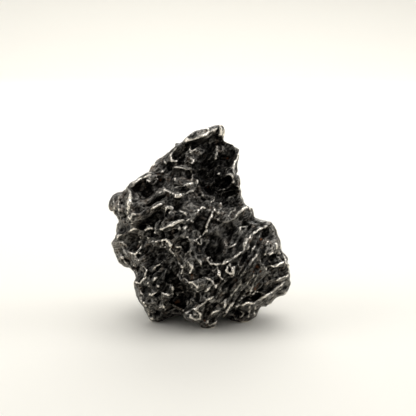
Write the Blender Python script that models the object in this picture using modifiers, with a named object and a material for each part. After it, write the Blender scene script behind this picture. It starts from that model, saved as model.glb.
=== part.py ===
"""A jagged iron meteorite: one solid piece of pitted nickel-iron, standing on the spots worn flat underneath.

The stone is first shaped square to a viewer in front of it: X runs across, Z up and Y away from the viewer. Its
outline, hollows and ridges are laid out on that front, with scoops all over. It is then leaned back to how it
stands, set down on the floor and ground flat where it touches.
"""

import math

import bmesh
import bpy
import numpy as np
from mathutils import Matrix, Vector, noise
from mathutils.bvhtree import BVHTree

MM = 0.001
TINY = 1e-9

# Driving dimensions
FRONT_DEPTH = 12.5 * MM
BACK_DEPTH = 12.5 * MM
LEAN_BACK = math.radians(12.0)
VIEWER = Vector((1.6, -196.0, 23.8)) * MM
STANDING_HEIGHT = 1.9 * MM

# The body between its outline and its front and back
HEART = Vector((-1.0, 0.0, 17.0)) * MM
BLUNTNESS = 0.75
BODY_STEPS = 7
SWELL_SIZE = 15.0 * MM
SWELL = 1.3 * MM

# The skin while it is worked, and as it is finished
WORKED_SKIN = 0.3 * MM
FINISHED_SKIN = 0.36 * MM
FACE_LIMIT = 9300
NORMAL_STEPS = 5

# Seen from the front: across and up, in millimetres. The underside is drawn deeper than the floor cuts it.
OUTLINE = (
    (4.6, 40.6), (2.2, 40.5), (-0.1, 39.7), (-2.9, 37.8), (-5.0, 36.5), (-8.9, 33.0), (-11.3, 31.0),
    (-13.2, 30.6), (-16.2, 27.4), (-17.6, 25.5), (-17.9, 23.9), (-17.1, 22.2), (-16.2, 21.2), (-16.9, 19.9),
    (-16.6, 18.7), (-17.9, 17.1), (-17.2, 15.1), (-16.4, 12.9), (-14.3, 11.6), (-12.9, 10.2), (-13.5, 8.7),
    (-13.2, 6.2), (-11.6, 4.6), (-10.9, 3.0), (-9.8, -2.2), (2.4, -2.6), (5.2, 0.6), (9.9, 1.0), (11.2, 2.4),
    (12.0, 4.3), (13.4, 3.9), (14.9, 5.7), (17.3, 6.4), (18.2, 9.1), (17.7, 12.6), (16.1, 15.7), (16.5, 17.7),
    (15.3, 20.1), (13.2, 21.8), (11.1, 22.1), (10.5, 23.5), (8.5, 25.5), (8.4, 27.4), (7.1, 30.5), (7.3, 32.8),
    (8.4, 35.1), (7.2, 36.5), (5.0, 37.7), (5.0, 39.1),
)

# Broad planes that cut the rounded body: the way each faces round the outline, its lean to the front (positive)
# or the back, both in degrees, and how far it cuts inside the outline's reach, in millimetres.
BROAD_PLANES = (
    (-90.0, 33.0, 3.4), (-35.0, 44.0, 0.2), (128.0, 46.0, 0.6), (178.0, 50.0, 0.4), (60.0, 62.0, 0.8),
    (-20.0, -34.0, 0.6), (25.0, -38.0, 0.8), (110.0, -30.0, 0.5), (150.0, -44.0, 0.8), (200.0, -30.0, 0.4),
)

# How much of a front feature's movement goes sideways as well as to the viewer
FRONT_SIDEWAYS = 0.35

# Features of the front: name, path across and up in millimetres, half width, rise (negative sinks) and edge.
MASSES = (
    ("hollow face under the cap", ((3.4, 34.4), (3.2, 31.0), (4.2, 27.6)), 3.8, -2.4, "round"),
    ("thick nose of the left middle", ((-6.5, 20.6), (-2.6, 21.6), (-4.6, 17.6)), 3.6, 1.9, "round"),
    ("sunken lower left", ((-6.6, 12.6), (-6.2, 7.6)), 3.4, -1.6, "round"),
    ("shelf of the right shoulder", ((9.0, 21.0), (13.6, 17.4)), 2.8, 0.9, "round"),
    ("swelling of the ribbed face", ((12.0, 14.0), (5.0, 5.0)), 3.2, 1.0, "round"),
    ("left shoulder", ((-13.6, 26.4), (-12.8, 22.0)), 2.6, 0.9, "round"),
    ("great hollow", ((3.3, 17.6), (2.9, 15.0)), 2.7, -4.6, "round"),
    ("deep cleft", ((-4.0, 8.4), (-3.9, 4.4)), 1.5, -4.4, "round"),
    ("upper cleft", ((-5.8, 12.8), (-5.9, 9.6)), 1.4, -3.6, "round"),
    ("hollow under the spike", ((-9.4, 14.6), (-6.6, 15.6)), 1.6, -2.0, "round"),
    ("shoulder pit", ((-11.5, 27.4), (-11.2, 26.0)), 1.7, -2.4, "round"),
    ("pit behind the left edge", ((-13.6, 18.6), (-12.6, 17.0)), 1.5, -1.8, "round"),
    ("slot in the right edge", ((12.9, 13.6), (14.8, 14.0), (16.8, 14.5)), 1.0, -2.6, "round"),
    ("hollow over the bottom ledge", ((9.6, 6.0), (11.8, 6.4)), 1.1, -2.0, "round"),
    ("gap beside the bottom wedge", ((1.2, 5.2), (2.4, 3.4)), 1.2, -1.6, "round"),
    ("root of the bottom wedge", ((-1.6, 3.4), (1.6, 2.4), (4.6, 4.4)), 2.2, 3.4, "round"),
)
FORMS = (
    ("cap of the peak", ((-2.6, 37.5), (0.6, 38.2), (3.4, 39.6), (4.4, 38.4)), 1.0, 1.5, "flat"),
    ("recess under the cap", ((-1.2, 36.2), (2.0, 36.4), (4.2, 37.0)), 0.9, -1.4, "round"),
    ("right fin", ((7.6, 35.6), (7.6, 34.4), (6.8, 32.8), (6.5, 31.4)), 0.6, 1.3, "sharp"),
    ("hooked ridge", ((4.0, 30.3), (5.9, 30.6), (6.7, 29.6), (6.8, 28.4)), 0.7, 1.3, "sharp"),
    ("knob of the right edge", ((7.4, 28.2), (8.2, 27.6)), 0.9, 0.6, "sharp"),
    ("flank loop", ((-4.4, 36.0), (-5.8, 34.6), (-5.8, 33.4), (-5.0, 32.8)), 0.8, 1.0, "sharp"),
    ("plate under the loop", ((-4.8, 31.7), (-1.9, 31.6)), 0.7, 0.9, "flat"),
    ("recess under the plate", ((-4.4, 30.5), (-2.0, 30.2)), 1.1, -1.1, "round"),
    ("crest of the left shoulder", ((-12.2, 28.6), (-13.8, 27.8), (-14.4, 22.0)), 0.7, 1.3, "sharp"),
    ("crest over the shoulder pit", ((-13.4, 28.3), (-11.2, 30.0), (-9.6, 30.4)), 0.7, 1.0, "sharp"),
    ("upper plank", ((-11.6, 24.3), (-8.2, 26.4), (-4.6, 26.6)), 0.9, 0.9, "flat"),
    ("groove between the planks", ((-12.2, 23.2), (-8.6, 24.9), (-5.6, 25.9)), 0.7, -1.3, "round"),
    ("lower plank", ((-12.4, 21.6), (-8.2, 23.5), (-4.6, 25.5)), 1.1, 1.2, "flat"),
    ("groove under the planks", ((-12.0, 20.2), (-8.6, 22.2), (-6.4, 24.2), (-3.8, 25.0)), 0.8, -1.7, "round"),
    ("ridge over the bar", ((-6.6, 23.6), (-3.6, 23.1), (-2.2, 21.8)), 0.7, 1.0, "sharp"),
    ("bar", ((-7.7, 19.5), (-3.6, 21.2), (-1.8, 21.2)), 0.9, 1.5, "flat"),
    ("round knob", ((-10.4, 19.8), (-9.8, 19.8)), 1.0, 1.2, "round"),
    ("spike", ((-9.4, 17.2), (-7.2, 17.2), (-5.9, 16.6), (-4.9, 13.8)), 0.8, 1.4, "sharp"),
    ("small pit of the nose", ((-3.7, 16.8), (-3.5, 16.6)), 1.0, -1.2, "round"),
    ("left edge crest", ((-17.2, 17.4), (-15.6, 18.5)), 0.7, 0.9, "sharp"),
    ("arched crest of the left edge", ((-14.2, 19.0), (-12.9, 19.9), (-11.9, 19.2)), 0.6, 1.0, "sharp"),
    ("ridge of the lower left", ((-11.6, 16.3), (-12.9, 14.7), (-12.5, 13.4)), 0.7, 1.2, "sharp"),
    ("left rim of the great hollow", ((1.5, 20.2), (0.4, 18.3), (0.1, 16.8)), 0.8, 1.1, "sharp"),
    ("lower rim of the great hollow", ((1.3, 13.6), (2.2, 12.5), (5.3, 12.8), (8.6, 15.3)), 1.0, 1.9, "sharp"),
    ("edge of the ribbed face", ((8.8, 16.4), (10.3, 18.8), (12.2, 19.8), (13.6, 20.3)), 1.0, 1.6, "sharp"),
    ("crest of the right shoulder", ((6.9, 21.8), (8.3, 23.2), (10.2, 24.0), (10.4, 22.8)), 0.8, 0.9, "sharp"),
    ("cluster over the great hollow", ((2.0, 23.3), (3.2, 23.5), (1.9, 21.4)), 0.9, 0.8, "round"),
    ("hanging loop", ((5.4, 12.6), (5.7, 11.0), (6.4, 10.8)), 0.7, 1.2, "round"),
    ("hanging tail", ((3.6, 12.2), (3.9, 10.6), (4.7, 9.6)), 0.6, 1.0, "sharp"),
    ("hollow behind the tails", ((4.6, 9.2), (6.0, 8.4)), 1.3, -1.5, "round"),
    ("rim of the right slot", ((13.3, 12.6), (14.8, 12.2), (16.8, 13.2)), 0.6, 0.8, "sharp"),
    ("right lower ridge", ((15.3, 9.6), (17.4, 10.6)), 0.7, 0.8, "sharp"),
    ("arch over the bottom ledge", ((9.8, 6.6), (11.2, 7.1), (12.8, 6.9), (13.4, 6.2)), 0.6, 1.0, "sharp"),
    ("bottom ledge", ((8.0, 4.6), (10.6, 4.3), (12.8, 5.9), (15.4, 7.8)), 0.8, 1.5, "flat"),
    ("bottom wedge", ((-2.0, 2.9), (0.4, 4.4), (2.2, 5.9)), 1.2, 2.0, "sharp"),
    ("blunt end of the wedge", ((-2.2, 2.5), (-0.4, 2.2)), 1.1, 1.3, "flat"),
    ("bottom beak", ((5.8, 5.0), (3.6, 3.0), (1.7, 0.9)), 1.1, 2.0, "sharp"),
    ("beak side", ((8.0, 2.6), (4.2, 1.4)), 1.0, 1.2, "flat"),
    ("right bottom lobe", ((9.4, 3.4), (9.6, 1.4)), 1.4, 1.6, "round"),
    ("small lobe", ((13.0, 5.2), (13.3, 4.4)), 0.9, 1.2, "round"),
    ("corner lobe", ((16.2, 7.6), (17.0, 7.0)), 1.0, 0.9, "round"),
    ("lower left lobes", ((-12.6, 8.6), (-10.2, 8.6)), 0.9, 0.9, "round"),
    ("lower left curl", ((-11.4, 12.2), (-10.4, 11.0), (-12.0, 9.4)), 0.7, 0.9, "sharp"),
    ("small curl", ((-9.4, 9.4), (-8.7, 10.0), (-8.4, 8.4)), 0.8, 0.9, "sharp"),
    ("bottom left corner", ((-11.4, 5.8), (-10.4, 3.2)), 1.2, 0.8, "round"),
)

# The ribbed face: parallel ribs that run down from the right shoulder to the beak.
RIB_COUNT = 5
FIRST_RIB = ((10.4, 17.4), (7.0, 12.4), (1.8, 5.6))
LAST_RIB = ((16.0, 16.4), (12.4, 11.0), (8.0, 5.4))
RIB_HALF_WIDTH = 0.75
RIB_RISE = 1.2

# Hidden sides: how many hollows, ridges and ledges, and their sizes in millimetres.
SIDE_SEED = 11
SIDE_HOLLOWS = 34
SIDE_RIDGES = 46
HOLLOW_RADIUS = (1.8, 4.2)
HOLLOW_DEPTH = (1.2, 2.8)
RIDGE_LENGTH = (3.0, 9.0)
RIDGE_HALF_WIDTH = (0.7, 1.2)
RIDGE_RISE = (0.9, 1.8)

# Scoops all over: the size and depth of the large and the small ones, how far they wander, and how much of
# that depth the outline and the drawn front get. Both change over in a band on each side of the outline.
SCOOPS = ((6.2 * MM, 3.0 * MM), (3.1 * MM, 1.5 * MM))
CREST_SHARE = 0.42
WANDER_SIZE = 7.0 * MM
WANDER = 1.6 * MM
WANDER_PLACES = ((0.0, 0.0, 0.0), (31.7, 0.0, 0.0), (0.0, 47.3, 0.0))
OUTLINE_SHARE = 0.5
FRONT_SHARE = 0.6
EDGE_BAND = (0.5 * MM, 4.5 * MM)

# The arched hollows underneath
LOWEST_BEFORE_FEET = 0.7 * MM
ARCH_CELL = 5.5 * MM
ARCH_RISE = 3.0 * MM

# Feet that take the weight: their places across and away from the viewer, in millimetres, and their size
FEET = ((-8.2, -0.6), (1.6, -5.6), (-5.4, 7.6), (6.0, 7.0), (8.6, -1.2))
FOOT_RADIUS = 3.6 * MM
FOOT_RISE = 2.4 * MM
FOOT_TOP = 6.0 * MM

IRON_COLOUR = (0.055, 0.052, 0.048, 1.0)
IRON_ROUGHNESS = 0.42


def clear_scene():
    for old in list(bpy.data.objects):
        bpy.data.objects.remove(old)


def smooth_step(x, low, high):
    t = np.clip((x - low) / (high - low), 0.0, 1.0)
    return t * t * (3.0 - 2.0 * t)


def outline_reach(angle):
    """How far the outline lies from the stone's heart in each direction round the front."""
    points = np.array(OUTLINE) * MM - (HEART.x, HEART.z)
    angles = np.arctan2(points[:, 1], points[:, 0])
    order = np.argsort(angles)
    reach = np.hypot(points[:, 0], points[:, 1])[order]
    return np.interp(angle, angles[order], reach, period=2.0 * math.pi)


def rounded_body(directions):
    """Unit directions to points of a blunt pebble that has the outline from the front."""
    round_front = np.arctan2(directions[:, 2], directions[:, 0])
    away = directions[:, 1]
    level = np.sqrt(np.clip(1.0 - away**2, 0.0, 1.0))
    across = outline_reach(round_front) * level**BLUNTNESS
    depth = np.where(away > 0.0, BACK_DEPTH, FRONT_DEPTH) * np.sign(away) * np.abs(away) ** BLUNTNESS
    return np.stack(
        (HEART.x + across * np.cos(round_front), depth, HEART.z + across * np.sin(round_front)), axis=1
    )


def cut_by_planes(points):
    """Flattens what stands out of the broad planes, keeping a little of its curve."""
    outline = np.array(OUTLINE) * MM
    for facing, lean, inside in BROAD_PLANES:
        around, over = math.radians(facing), math.radians(abs(lean))
        away = -math.copysign(math.sin(over), lean)
        normal = np.array((math.cos(around) * math.cos(over), away, math.sin(around) * math.cos(over)))
        farthest = (outline @ normal[[0, 2]]).max() - inside * MM
        above = np.maximum(points @ normal - farthest, 0.0)
        rim = smooth_step(np.abs(points[:, 1]), 0.0, EDGE_BAND[1])
        points = points - np.outer(above * 0.85 * rim, normal)
    return points


def swell(points):
    """Slow swells in the depth, so that the front and the back aren't evenly round."""
    lift = np.array([noise.noise(Vector(p) / SWELL_SIZE) for p in points])
    points[:, 1] += lift * SWELL * smooth_step(np.abs(points[:, 1]), *EDGE_BAND)
    return points


def trim_to_outline(stone):
    """Draws in what the viewer would see stand out of the outline."""
    points = read_points(stone)
    nearer = 1.0 - points[:, 1] / VIEWER.y
    seen_across = VIEWER.x + (points[:, 0] - VIEWER.x) / nearer - HEART.x
    seen_up = VIEWER.z + (points[:, 2] - VIEWER.z) / nearer - HEART.z
    reach = outline_reach(np.arctan2(seen_up, seen_across))
    keep = np.minimum(reach / np.maximum(np.hypot(seen_across, seen_up), TINY), 1.0)
    points[:, 0] = VIEWER.x + (HEART.x + seen_across * keep - VIEWER.x) * nearer
    points[:, 2] = VIEWER.z + (HEART.z + seen_up * keep - VIEWER.z) * nearer
    write_points(stone, points)


def new_stone():
    bpy.ops.mesh.primitive_ico_sphere_add(subdivisions=BODY_STEPS, radius=1.0)
    stone = bpy.context.object
    stone.name = "meteorite"
    write_points(stone, swell(cut_by_planes(rounded_body(read_points(stone)))))
    return stone


def read_points(stone):
    flat = np.empty(len(stone.data.vertices) * 3, np.float32)
    stone.data.vertices.foreach_get("co", flat)
    return flat.reshape(-1, 3).astype(float)


def write_points(stone, points):
    stone.data.vertices.foreach_set("co", points.astype(np.float32).ravel())
    stone.data.update()


def broad_normals(stone):
    """The way the surface faces, averaged over each point's neighbourhood so that creases don't tear it."""
    count = len(stone.data.vertices)
    flat = np.empty(count * 3, np.float32)
    stone.data.vertex_normals.foreach_get("vector", flat)
    normals = flat.reshape(-1, 3).astype(float)
    ends = np.empty(len(stone.data.edges) * 2, np.int32)
    stone.data.edges.foreach_get("vertices", ends)
    one, other = ends.reshape(-1, 2).T
    for _ in range(NORMAL_STEPS):
        around = [
            np.bincount(one, normals[other, axis], count) + np.bincount(other, normals[one, axis], count)
            for axis in range(3)
        ]
        normals = normals + np.stack(around, axis=1)
        normals /= np.linalg.norm(normals, axis=1, keepdims=True)
    return normals


def surface_of(stone):
    stone.data.calc_loop_triangles()
    triangles = [tuple(t.vertices) for t in stone.data.loop_triangles]
    return BVHTree.FromPolygons([v.co for v in stone.data.vertices], triangles)


def on_front(surface, across, up):
    """The point of the front that the viewer sees there, or the nearest one at the edge."""
    aim = Vector((across * MM, 0.0, up * MM))
    seen = surface.ray_cast(VIEWER, (aim - VIEWER).normalized())[0]
    return seen if seen is not None else surface.find_nearest(aim)[0]


def distance_to_path(points, path):
    nearest = np.full(len(points), np.inf)
    for a, b in zip(path[:-1], path[1:]):
        a, b = np.array(a), np.array(b)
        along = np.clip((points - a) @ (b - a) / max((b - a) @ (b - a), TINY**2), 0.0, 1.0)
        nearest = np.minimum(nearest, np.linalg.norm(points - a - along[:, None] * (b - a), axis=1))
    return nearest


def edge_profile(t, edge):
    """The height across a feature, from 1 on its path to 0 at its half width."""
    inside = np.clip(1.0 - t, 0.0, 1.0)
    if edge == "sharp":
        return inside**1.2
    if edge == "flat":
        return smooth_step(inside, 0.0, 0.45)
    return smooth_step(inside, 0.0, 1.0)


def sculpt(stone, features, sideways=1.0):
    """Moves the surface in or out along its normals under each feature: a path on it, its half width and rise.

    A small share of sideways movement keeps the outline where it is drawn.
    """
    points, normals = read_points(stone), broad_normals(stone) * (sideways, 1.0, sideways)
    lift = np.zeros(len(points))
    for path, half_width, rise, edge in features:
        reach = half_width * 1.6 * MM if edge != "flat" else half_width * 1.3 * MM
        lift += rise * MM * edge_profile(distance_to_path(points, path) / reach, edge)
    write_points(stone, points + normals * lift[:, None])


def on_the_front(stone, features):
    surface = surface_of(stone)
    return [
        ([on_front(surface, *place) for place in path], half_width, rise, edge)
        for _, path, half_width, rise, edge in features
    ]


def ribs():
    """The ribs of the ribbed face, spread evenly from the first to the last."""
    first, last = np.array(FIRST_RIB), np.array(LAST_RIB)
    for i in range(RIB_COUNT):
        path = first + (last - first) * i / (RIB_COUNT - 1)
        yield (f"rib {i + 1}", tuple(map(tuple, path)), RIB_HALF_WIDTH, RIB_RISE, "sharp")


def hidden_features(stone):
    """Hollows and ridges scattered over the sides, the back and the top, away from the drawn front."""
    chance = np.random.default_rng(SIDE_SEED)
    surface = surface_of(stone)

    def on_side(direction):
        return surface.ray_cast(HEART, direction)[0]

    def hidden_direction():
        while True:
            direction = Vector(chance.normal(size=3)).normalized()
            if direction.y > 0.12:
                return direction

    features = []
    for _ in range(SIDE_HOLLOWS):
        place = on_side(hidden_direction())
        depth = chance.uniform(*HOLLOW_DEPTH)
        features.append(([place, place], chance.uniform(*HOLLOW_RADIUS), -depth, "round"))
    for i in range(SIDE_RIDGES):
        start = hidden_direction()
        across = start.cross(Vector(chance.normal(size=3))).normalized()
        turn = chance.uniform(*RIDGE_LENGTH) * MM / on_side(start).length
        bend = chance.uniform(-0.5, 0.5) * turn
        ahead = start.cross(across)
        ends = (start - across * turn / 2, start + ahead * bend, start + across * turn / 2)
        path = [on_side(end.normalized()) for end in ends]
        edge = "flat" if i % 3 == 0 else "sharp"
        features.append((path, chance.uniform(*RIDGE_HALF_WIDTH), chance.uniform(*RIDGE_RISE), edge))
    return features


def lean_back(stone):
    """Turns the stone from square to the viewer to how it stands, with its standing height on the floor."""
    stone.data.transform(Matrix.Rotation(-LEAN_BACK, 4, "X"))
    stone.data.transform(Matrix.Translation((0.0, 0.0, -STANDING_HEIGHT)))


def settle(stone):
    """Arches the underside a little above the floor and lets the feet down to it."""
    points = read_points(stone)
    for i in np.flatnonzero(points[:, 2] < LOWEST_BEFORE_FEET + ARCH_RISE):
        x, y, z = points[i]
        nearest = noise.voronoi(Vector((x, y, 0.0)) / ARCH_CELL)[0][0]
        points[i, 2] = max(z, LOWEST_BEFORE_FEET + ARCH_RISE * nearest**2)
    low = 1.0 - smooth_step(points[:, 2], LOWEST_BEFORE_FEET, FOOT_TOP)
    for x, y in FEET:
        apart = np.hypot(points[:, 0] - x * MM, points[:, 1] - y * MM) / FOOT_RADIUS
        foot = edge_profile(apart, "sharp") * low
        points[:, 2] -= foot * (points[:, 2] - LOWEST_BEFORE_FEET + FOOT_RISE)
    write_points(stone, points)


def scoop_all_over(stone):
    """Rounded hollows that meet in sharp crests, from distances to scattered cell centres."""
    points, normals = read_points(stone), broad_normals(stone)
    lift = np.zeros(len(points))
    for i, point in enumerate(map(Vector, points)):
        shift = [noise.noise(point / WANDER_SIZE + Vector(apart)) for apart in WANDER_PLACES]
        wandered = point + Vector(shift) * WANDER
        for cell, depth in SCOOPS:
            nearest = noise.voronoi(wandered / cell)[0][0]
            lift[i] += depth * (nearest**2 - CREST_SHARE)
    full = np.where(points[:, 1] < 0.0, FRONT_SHARE, 1.0)
    share = OUTLINE_SHARE + (full - OUTLINE_SHARE) * smooth_step(np.abs(points[:, 1]), *EDGE_BAND)
    write_points(stone, points + normals * (lift * share)[:, None])


def even_skin(stone, size, face_limit=None):
    """Closes the surface over its folds with even faces, then keeps only as many as it is allowed."""
    skin = stone.modifiers.new("even skin", "REMESH")
    skin.mode = "VOXEL"
    skin.voxel_size = size
    stone.data = bpy.data.meshes.new_from_object(stone.evaluated_get(bpy.context.evaluated_depsgraph_get()))
    stone.modifiers.clear()
    if face_limit is not None:
        fewer = stone.modifiers.new("only the faces needed", "DECIMATE")
        fewer.ratio = face_limit / (2.0 * len(stone.data.polygons))
        graph = bpy.context.evaluated_depsgraph_get()
        stone.data = bpy.data.meshes.new_from_object(stone.evaluated_get(graph))
        stone.modifiers.clear()


def grind_flat(mesh):
    """Cuts the feet off level with the floor, closes them, and centres the stone over its origin."""
    shape = bmesh.new()
    shape.from_mesh(mesh)
    cut = bmesh.ops.bisect_plane(
        shape,
        geom=shape.verts[:] + shape.edges[:] + shape.faces[:],
        plane_co=(0.0, 0.0, 0.0),
        plane_no=(0.0, 0.0, -1.0),
        clear_outer=True,
    )
    rim = [e for e in cut["geom_cut"] if isinstance(e, bmesh.types.BMEdge)]
    bmesh.ops.edgenet_fill(shape, edges=rim)
    bmesh.ops.recalc_face_normals(shape, faces=shape.faces)
    low = [min(v.co[i] for v in shape.verts) for i in range(3)]
    high = [max(v.co[i] for v in shape.verts) for i in range(3)]
    centre = Vector(((low[0] + high[0]) / 2, (low[1] + high[1]) / 2, low[2]))
    bmesh.ops.translate(shape, vec=-centre, verts=shape.verts)
    shape.to_mesh(mesh)
    shape.free()


def iron():
    material = bpy.data.materials.new("dark iron")
    material.use_nodes = True
    shader = material.node_tree.nodes["Principled BSDF"]
    shader.inputs["Base Color"].default_value = IRON_COLOUR
    shader.inputs["Metallic"].default_value = 1.0
    shader.inputs["Roughness"].default_value = IRON_ROUGHNESS
    return material


def main():
    clear_scene()
    stone = new_stone()
    even_skin(stone, WORKED_SKIN)
    sculpt(stone, on_the_front(stone, MASSES), FRONT_SIDEWAYS)
    sculpt(stone, hidden_features(stone))
    scoop_all_over(stone)
    even_skin(stone, WORKED_SKIN)
    sculpt(stone, on_the_front(stone, FORMS + tuple(ribs())), FRONT_SIDEWAYS)
    trim_to_outline(stone)
    lean_back(stone)
    settle(stone)
    even_skin(stone, FINISHED_SKIN, FACE_LIMIT)
    grind_flat(stone.data)
    stone.data.materials.clear()
    stone.data.materials.append(iron())
    collection = bpy.data.collections.new("meteorite")
    bpy.context.scene.collection.children.link(collection)
    for holder in list(stone.users_collection):
        holder.objects.unlink(stone)
    collection.objects.link(stone)


main()
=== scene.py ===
"""A jagged iron meteorite on a pale studio floor.

The stone starts as the plain solid that the frame holds. Its skin is evened and softened, and broken first
into coarse cells, with the photograph's hollows and crests laid over them, and then into fine cells, ridges
and ribs. How worn each place is, with the crests' painted light, how sunken it is, how far it stands out, and
the painted light and shade of patches on the front stay on the skin as attributes, which the iron's material
reads.
"""

import math
from itertools import product

import bmesh
import bpy
import numpy as np
from bpy.props import FloatProperty, FloatVectorProperty, IntProperty, PointerProperty
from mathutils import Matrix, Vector
from mathutils.bvhtree import BVHTree


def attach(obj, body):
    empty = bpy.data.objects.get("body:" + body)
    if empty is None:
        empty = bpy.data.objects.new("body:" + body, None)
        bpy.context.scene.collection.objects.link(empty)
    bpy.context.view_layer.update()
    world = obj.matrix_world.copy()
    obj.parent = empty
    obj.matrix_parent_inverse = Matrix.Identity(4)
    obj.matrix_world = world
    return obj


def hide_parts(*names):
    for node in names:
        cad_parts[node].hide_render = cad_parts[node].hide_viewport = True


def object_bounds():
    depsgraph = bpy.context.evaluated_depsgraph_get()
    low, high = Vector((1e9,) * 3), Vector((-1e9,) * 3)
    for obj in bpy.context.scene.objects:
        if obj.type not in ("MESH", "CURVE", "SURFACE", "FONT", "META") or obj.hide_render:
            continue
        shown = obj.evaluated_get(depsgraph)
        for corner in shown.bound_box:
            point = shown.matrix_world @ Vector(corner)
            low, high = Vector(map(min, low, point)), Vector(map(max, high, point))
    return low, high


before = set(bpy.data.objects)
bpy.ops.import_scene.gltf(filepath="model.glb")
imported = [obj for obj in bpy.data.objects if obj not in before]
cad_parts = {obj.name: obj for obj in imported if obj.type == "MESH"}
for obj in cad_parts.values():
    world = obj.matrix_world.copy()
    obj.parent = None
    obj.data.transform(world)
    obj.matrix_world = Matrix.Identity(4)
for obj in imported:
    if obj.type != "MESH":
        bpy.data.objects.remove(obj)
CAD_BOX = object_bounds()

bl_info = {
    "name": "Iron meteorite",
    "version": (1, 0, 0),
    "blender": (4, 5, 0),
    "location": "3D View > Sidebar > Meteorite",
    "description": "Shapes a jagged iron meteorite with worn crests and sets it on a studio floor",
    "category": "Object",
}

MM = 0.001
TINY = 1e-12

# The picture that the front was read from: a plane square to the viewer through the middle of the stone.
# Places on it are across and up from the stone's foot, in millimetres, and this is where the viewer's line of
# sight goes.
SIGHT_ACROSS, SIGHT_UP = 1.6, 23.8
SIGHT_HEIGHT_CUT = 1.9
SIGHT_SHIFT = Vector((-0.157, -3.097, 0.0)) * MM

# Hollows and slabs of the front on the picture, in millimetres: name, path, half width, rise (negative where
# it sinks) and kind
HOLLOWS = (
    ("floor of the great hollow", ((2.8, 17.8), (3.6, 15)), 1.9, 3.2, "slab"),
    ("great hollow, lower left", ((1.8, 15), (2.6, 13.8)), 1.1, -1.1, "bowl"),
    ("deep cleft", ((-4, 8.2), (-4, 4.6)), 1.1, -4.5, "bowl"),
    ("middle cleft", ((-6.4, 12.2), (-5.8, 9.6)), 1.1, -3.5, "bowl"),
    ("upper cleft", ((-7.4, 15.2), (-6, 13.2)), 1.1, -1.7, "bowl"),
    ("hollow under the spike", ((-10.4, 14.8), (-8.2, 14)), 1.2, -1.5, "bowl"),
    ("shoulder pit", ((-11.4, 27.8), (-11.2, 26)), 1.3, -1.5, "bowl"),
    ("left pit", ((-13.6, 17.8), (-12.6, 16.2)), 1, -1.5, "bowl"),
    ("nose pit", ((-9.7, 19), (-9.4, 18.8)), 1, -1.1, "bowl"),
    ("pit under the bar", ((-3.8, 16.8), (-3.2, 16.6)), 1, -1.2, "bowl"),
    ("slot in the right edge", ((12.8, 13.4), (16.2, 13.8)), 0.75, -4, "bowl"),
    ("pit under the arch", ((5, 29.2), (5.8, 28.4)), 0.8, -1.3, "bowl"),
    ("recess under the cap", ((-1.8, 36.2), (0, 35.9)), 0.75, -1.2, "bowl"),
    ("recess behind the tip", ((2.6, 37.9), (4.2, 38)), 0.5, -1, "bowl"),
    ("recess under the ledge", ((-4.8, 30.7), (-2.2, 30.4)), 0.8, -1.1, "bowl"),
    ("upper face, left", ((1, 33.8), (0.8, 31.4)), 2, -0.8, "bowl"),
    ("upper face, right", ((5.4, 35.4), (4.8, 32.2)), 1.4, -0.9, "bowl"),
    ("hollow beside the arch", ((1.4, 28), (2.4, 27)), 1.3, -0.9, "bowl"),
    ("hollow over the cluster", ((-0.8, 24.8), (0.6, 25.6)), 1, -0.8, "bowl"),
    ("groove over the plank", ((-12.4, 22.8), (-9, 24.6), (-7, 25.4)), 0.5, -1, "bowl"),
    ("groove under the plank", ((-11.6, 19.9), (-8.1, 23.1), (-4.4, 24.4)), 0.6, -1.2, "bowl"),
    ("plank", ((-12.4, 21.2), (-8.4, 23.7), (-4, 25.8)), 0.85, 2, "slab"),
    ("upper plank", ((-12.8, 24), (-9.6, 25.8), (-6, 26.6)), 0.55, 1.5, "slab"),
    ("lobe groove", ((-15.8, 26.6), (-15.7, 25)), 0.35, -2.4, "bowl"),
    ("long lobe groove", ((-15.3, 24.6), (-15.2, 22.2)), 0.4, -2.4, "bowl"),
    ("hollow behind the tails", ((4.6, 11.4), (6.6, 9.8), (9, 10)), 1.1, -1.7, "bowl"),
    ("hollow right of the tails", ((7.6, 13), (9.2, 13)), 0.8, -0.9, "bowl"),
    ("gap beside the wedge", ((1, 3.8), (1.8, 4.8)), 0.7, -1.2, "bowl"),
    ("gap above the wedge", ((-1.6, 5.4), (0, 6.2)), 0.9, -1.2, "bowl"),
    ("gap below the beak", ((6, 1.8), (7.6, 3)), 0.8, -1.3, "bowl"),
    ("notch below the ledge", ((10.8, 3), (12, 3.2)), 0.7, -3, "bowl"),
    ("hollow under the right arc", ((10.6, 6), (12.4, 6)), 0.6, -1, "bowl"),
    ("hollow of the lower left", ((-12, 11.8), (-12, 10.4)), 1, -0.9, "bowl"),
    ("hollow of the corner", ((-11.6, 6.2), (-10.8, 5)), 1.1, -1, "bowl"),
    ("hollow left of the cleft", ((-7.6, 5), (-6.4, 4.2)), 1.2, -1.2, "bowl"),
    ("hollow of the base", ((-8, 2.6), (-6, 2.6)), 0.9, -0.9, "bowl"),
    ("hollow by the curls", ((-0.8, 20.6), (-0.2, 19.6)), 0.9, -0.9, "bowl"),
    ("hollow right of the crest", ((4.2, 20.6), (5.6, 19.8)), 1.2, -1, "bowl"),
    ("hollow below the shoulder", ((8, 21.8), (9.2, 21.4)), 0.9, -0.8, "bowl"),
    ("plate edge of the ledge", ((8, 3.6), (11.2, 4.2), (14.4, 6)), 0.8, 0.6, "slab"),
    ("grey plane", ((14, 7.8), (16.8, 9.2)), 1.2, 0.5, "slab"),
    ("flank slope", ((-9, 31.6), (-3.4, 36.2)), 0.9, 0.3, "slab"),
    ("lower left plane", ((-15.4, 16), (-13, 13)), 0.9, 0.3, "slab"),
    ("upright plane by the cleft", ((-2.4, 13.4), (-1.6, 11.2)), 0.9, 0.8, "slab"),
    ("block of the shoulder", ((7.4, 20.4), (9.2, 22.6)), 0.9, 0.8, "slab"),
    ("plane of the beak", ((2.6, 2.4), (6.4, 6)), 0.6, 0.5, "slab"),
    ("panel of the upper face", ((-4.6, 29.6), (-1, 28.8)), 0.9, 0.3, "slab"),
)
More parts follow.
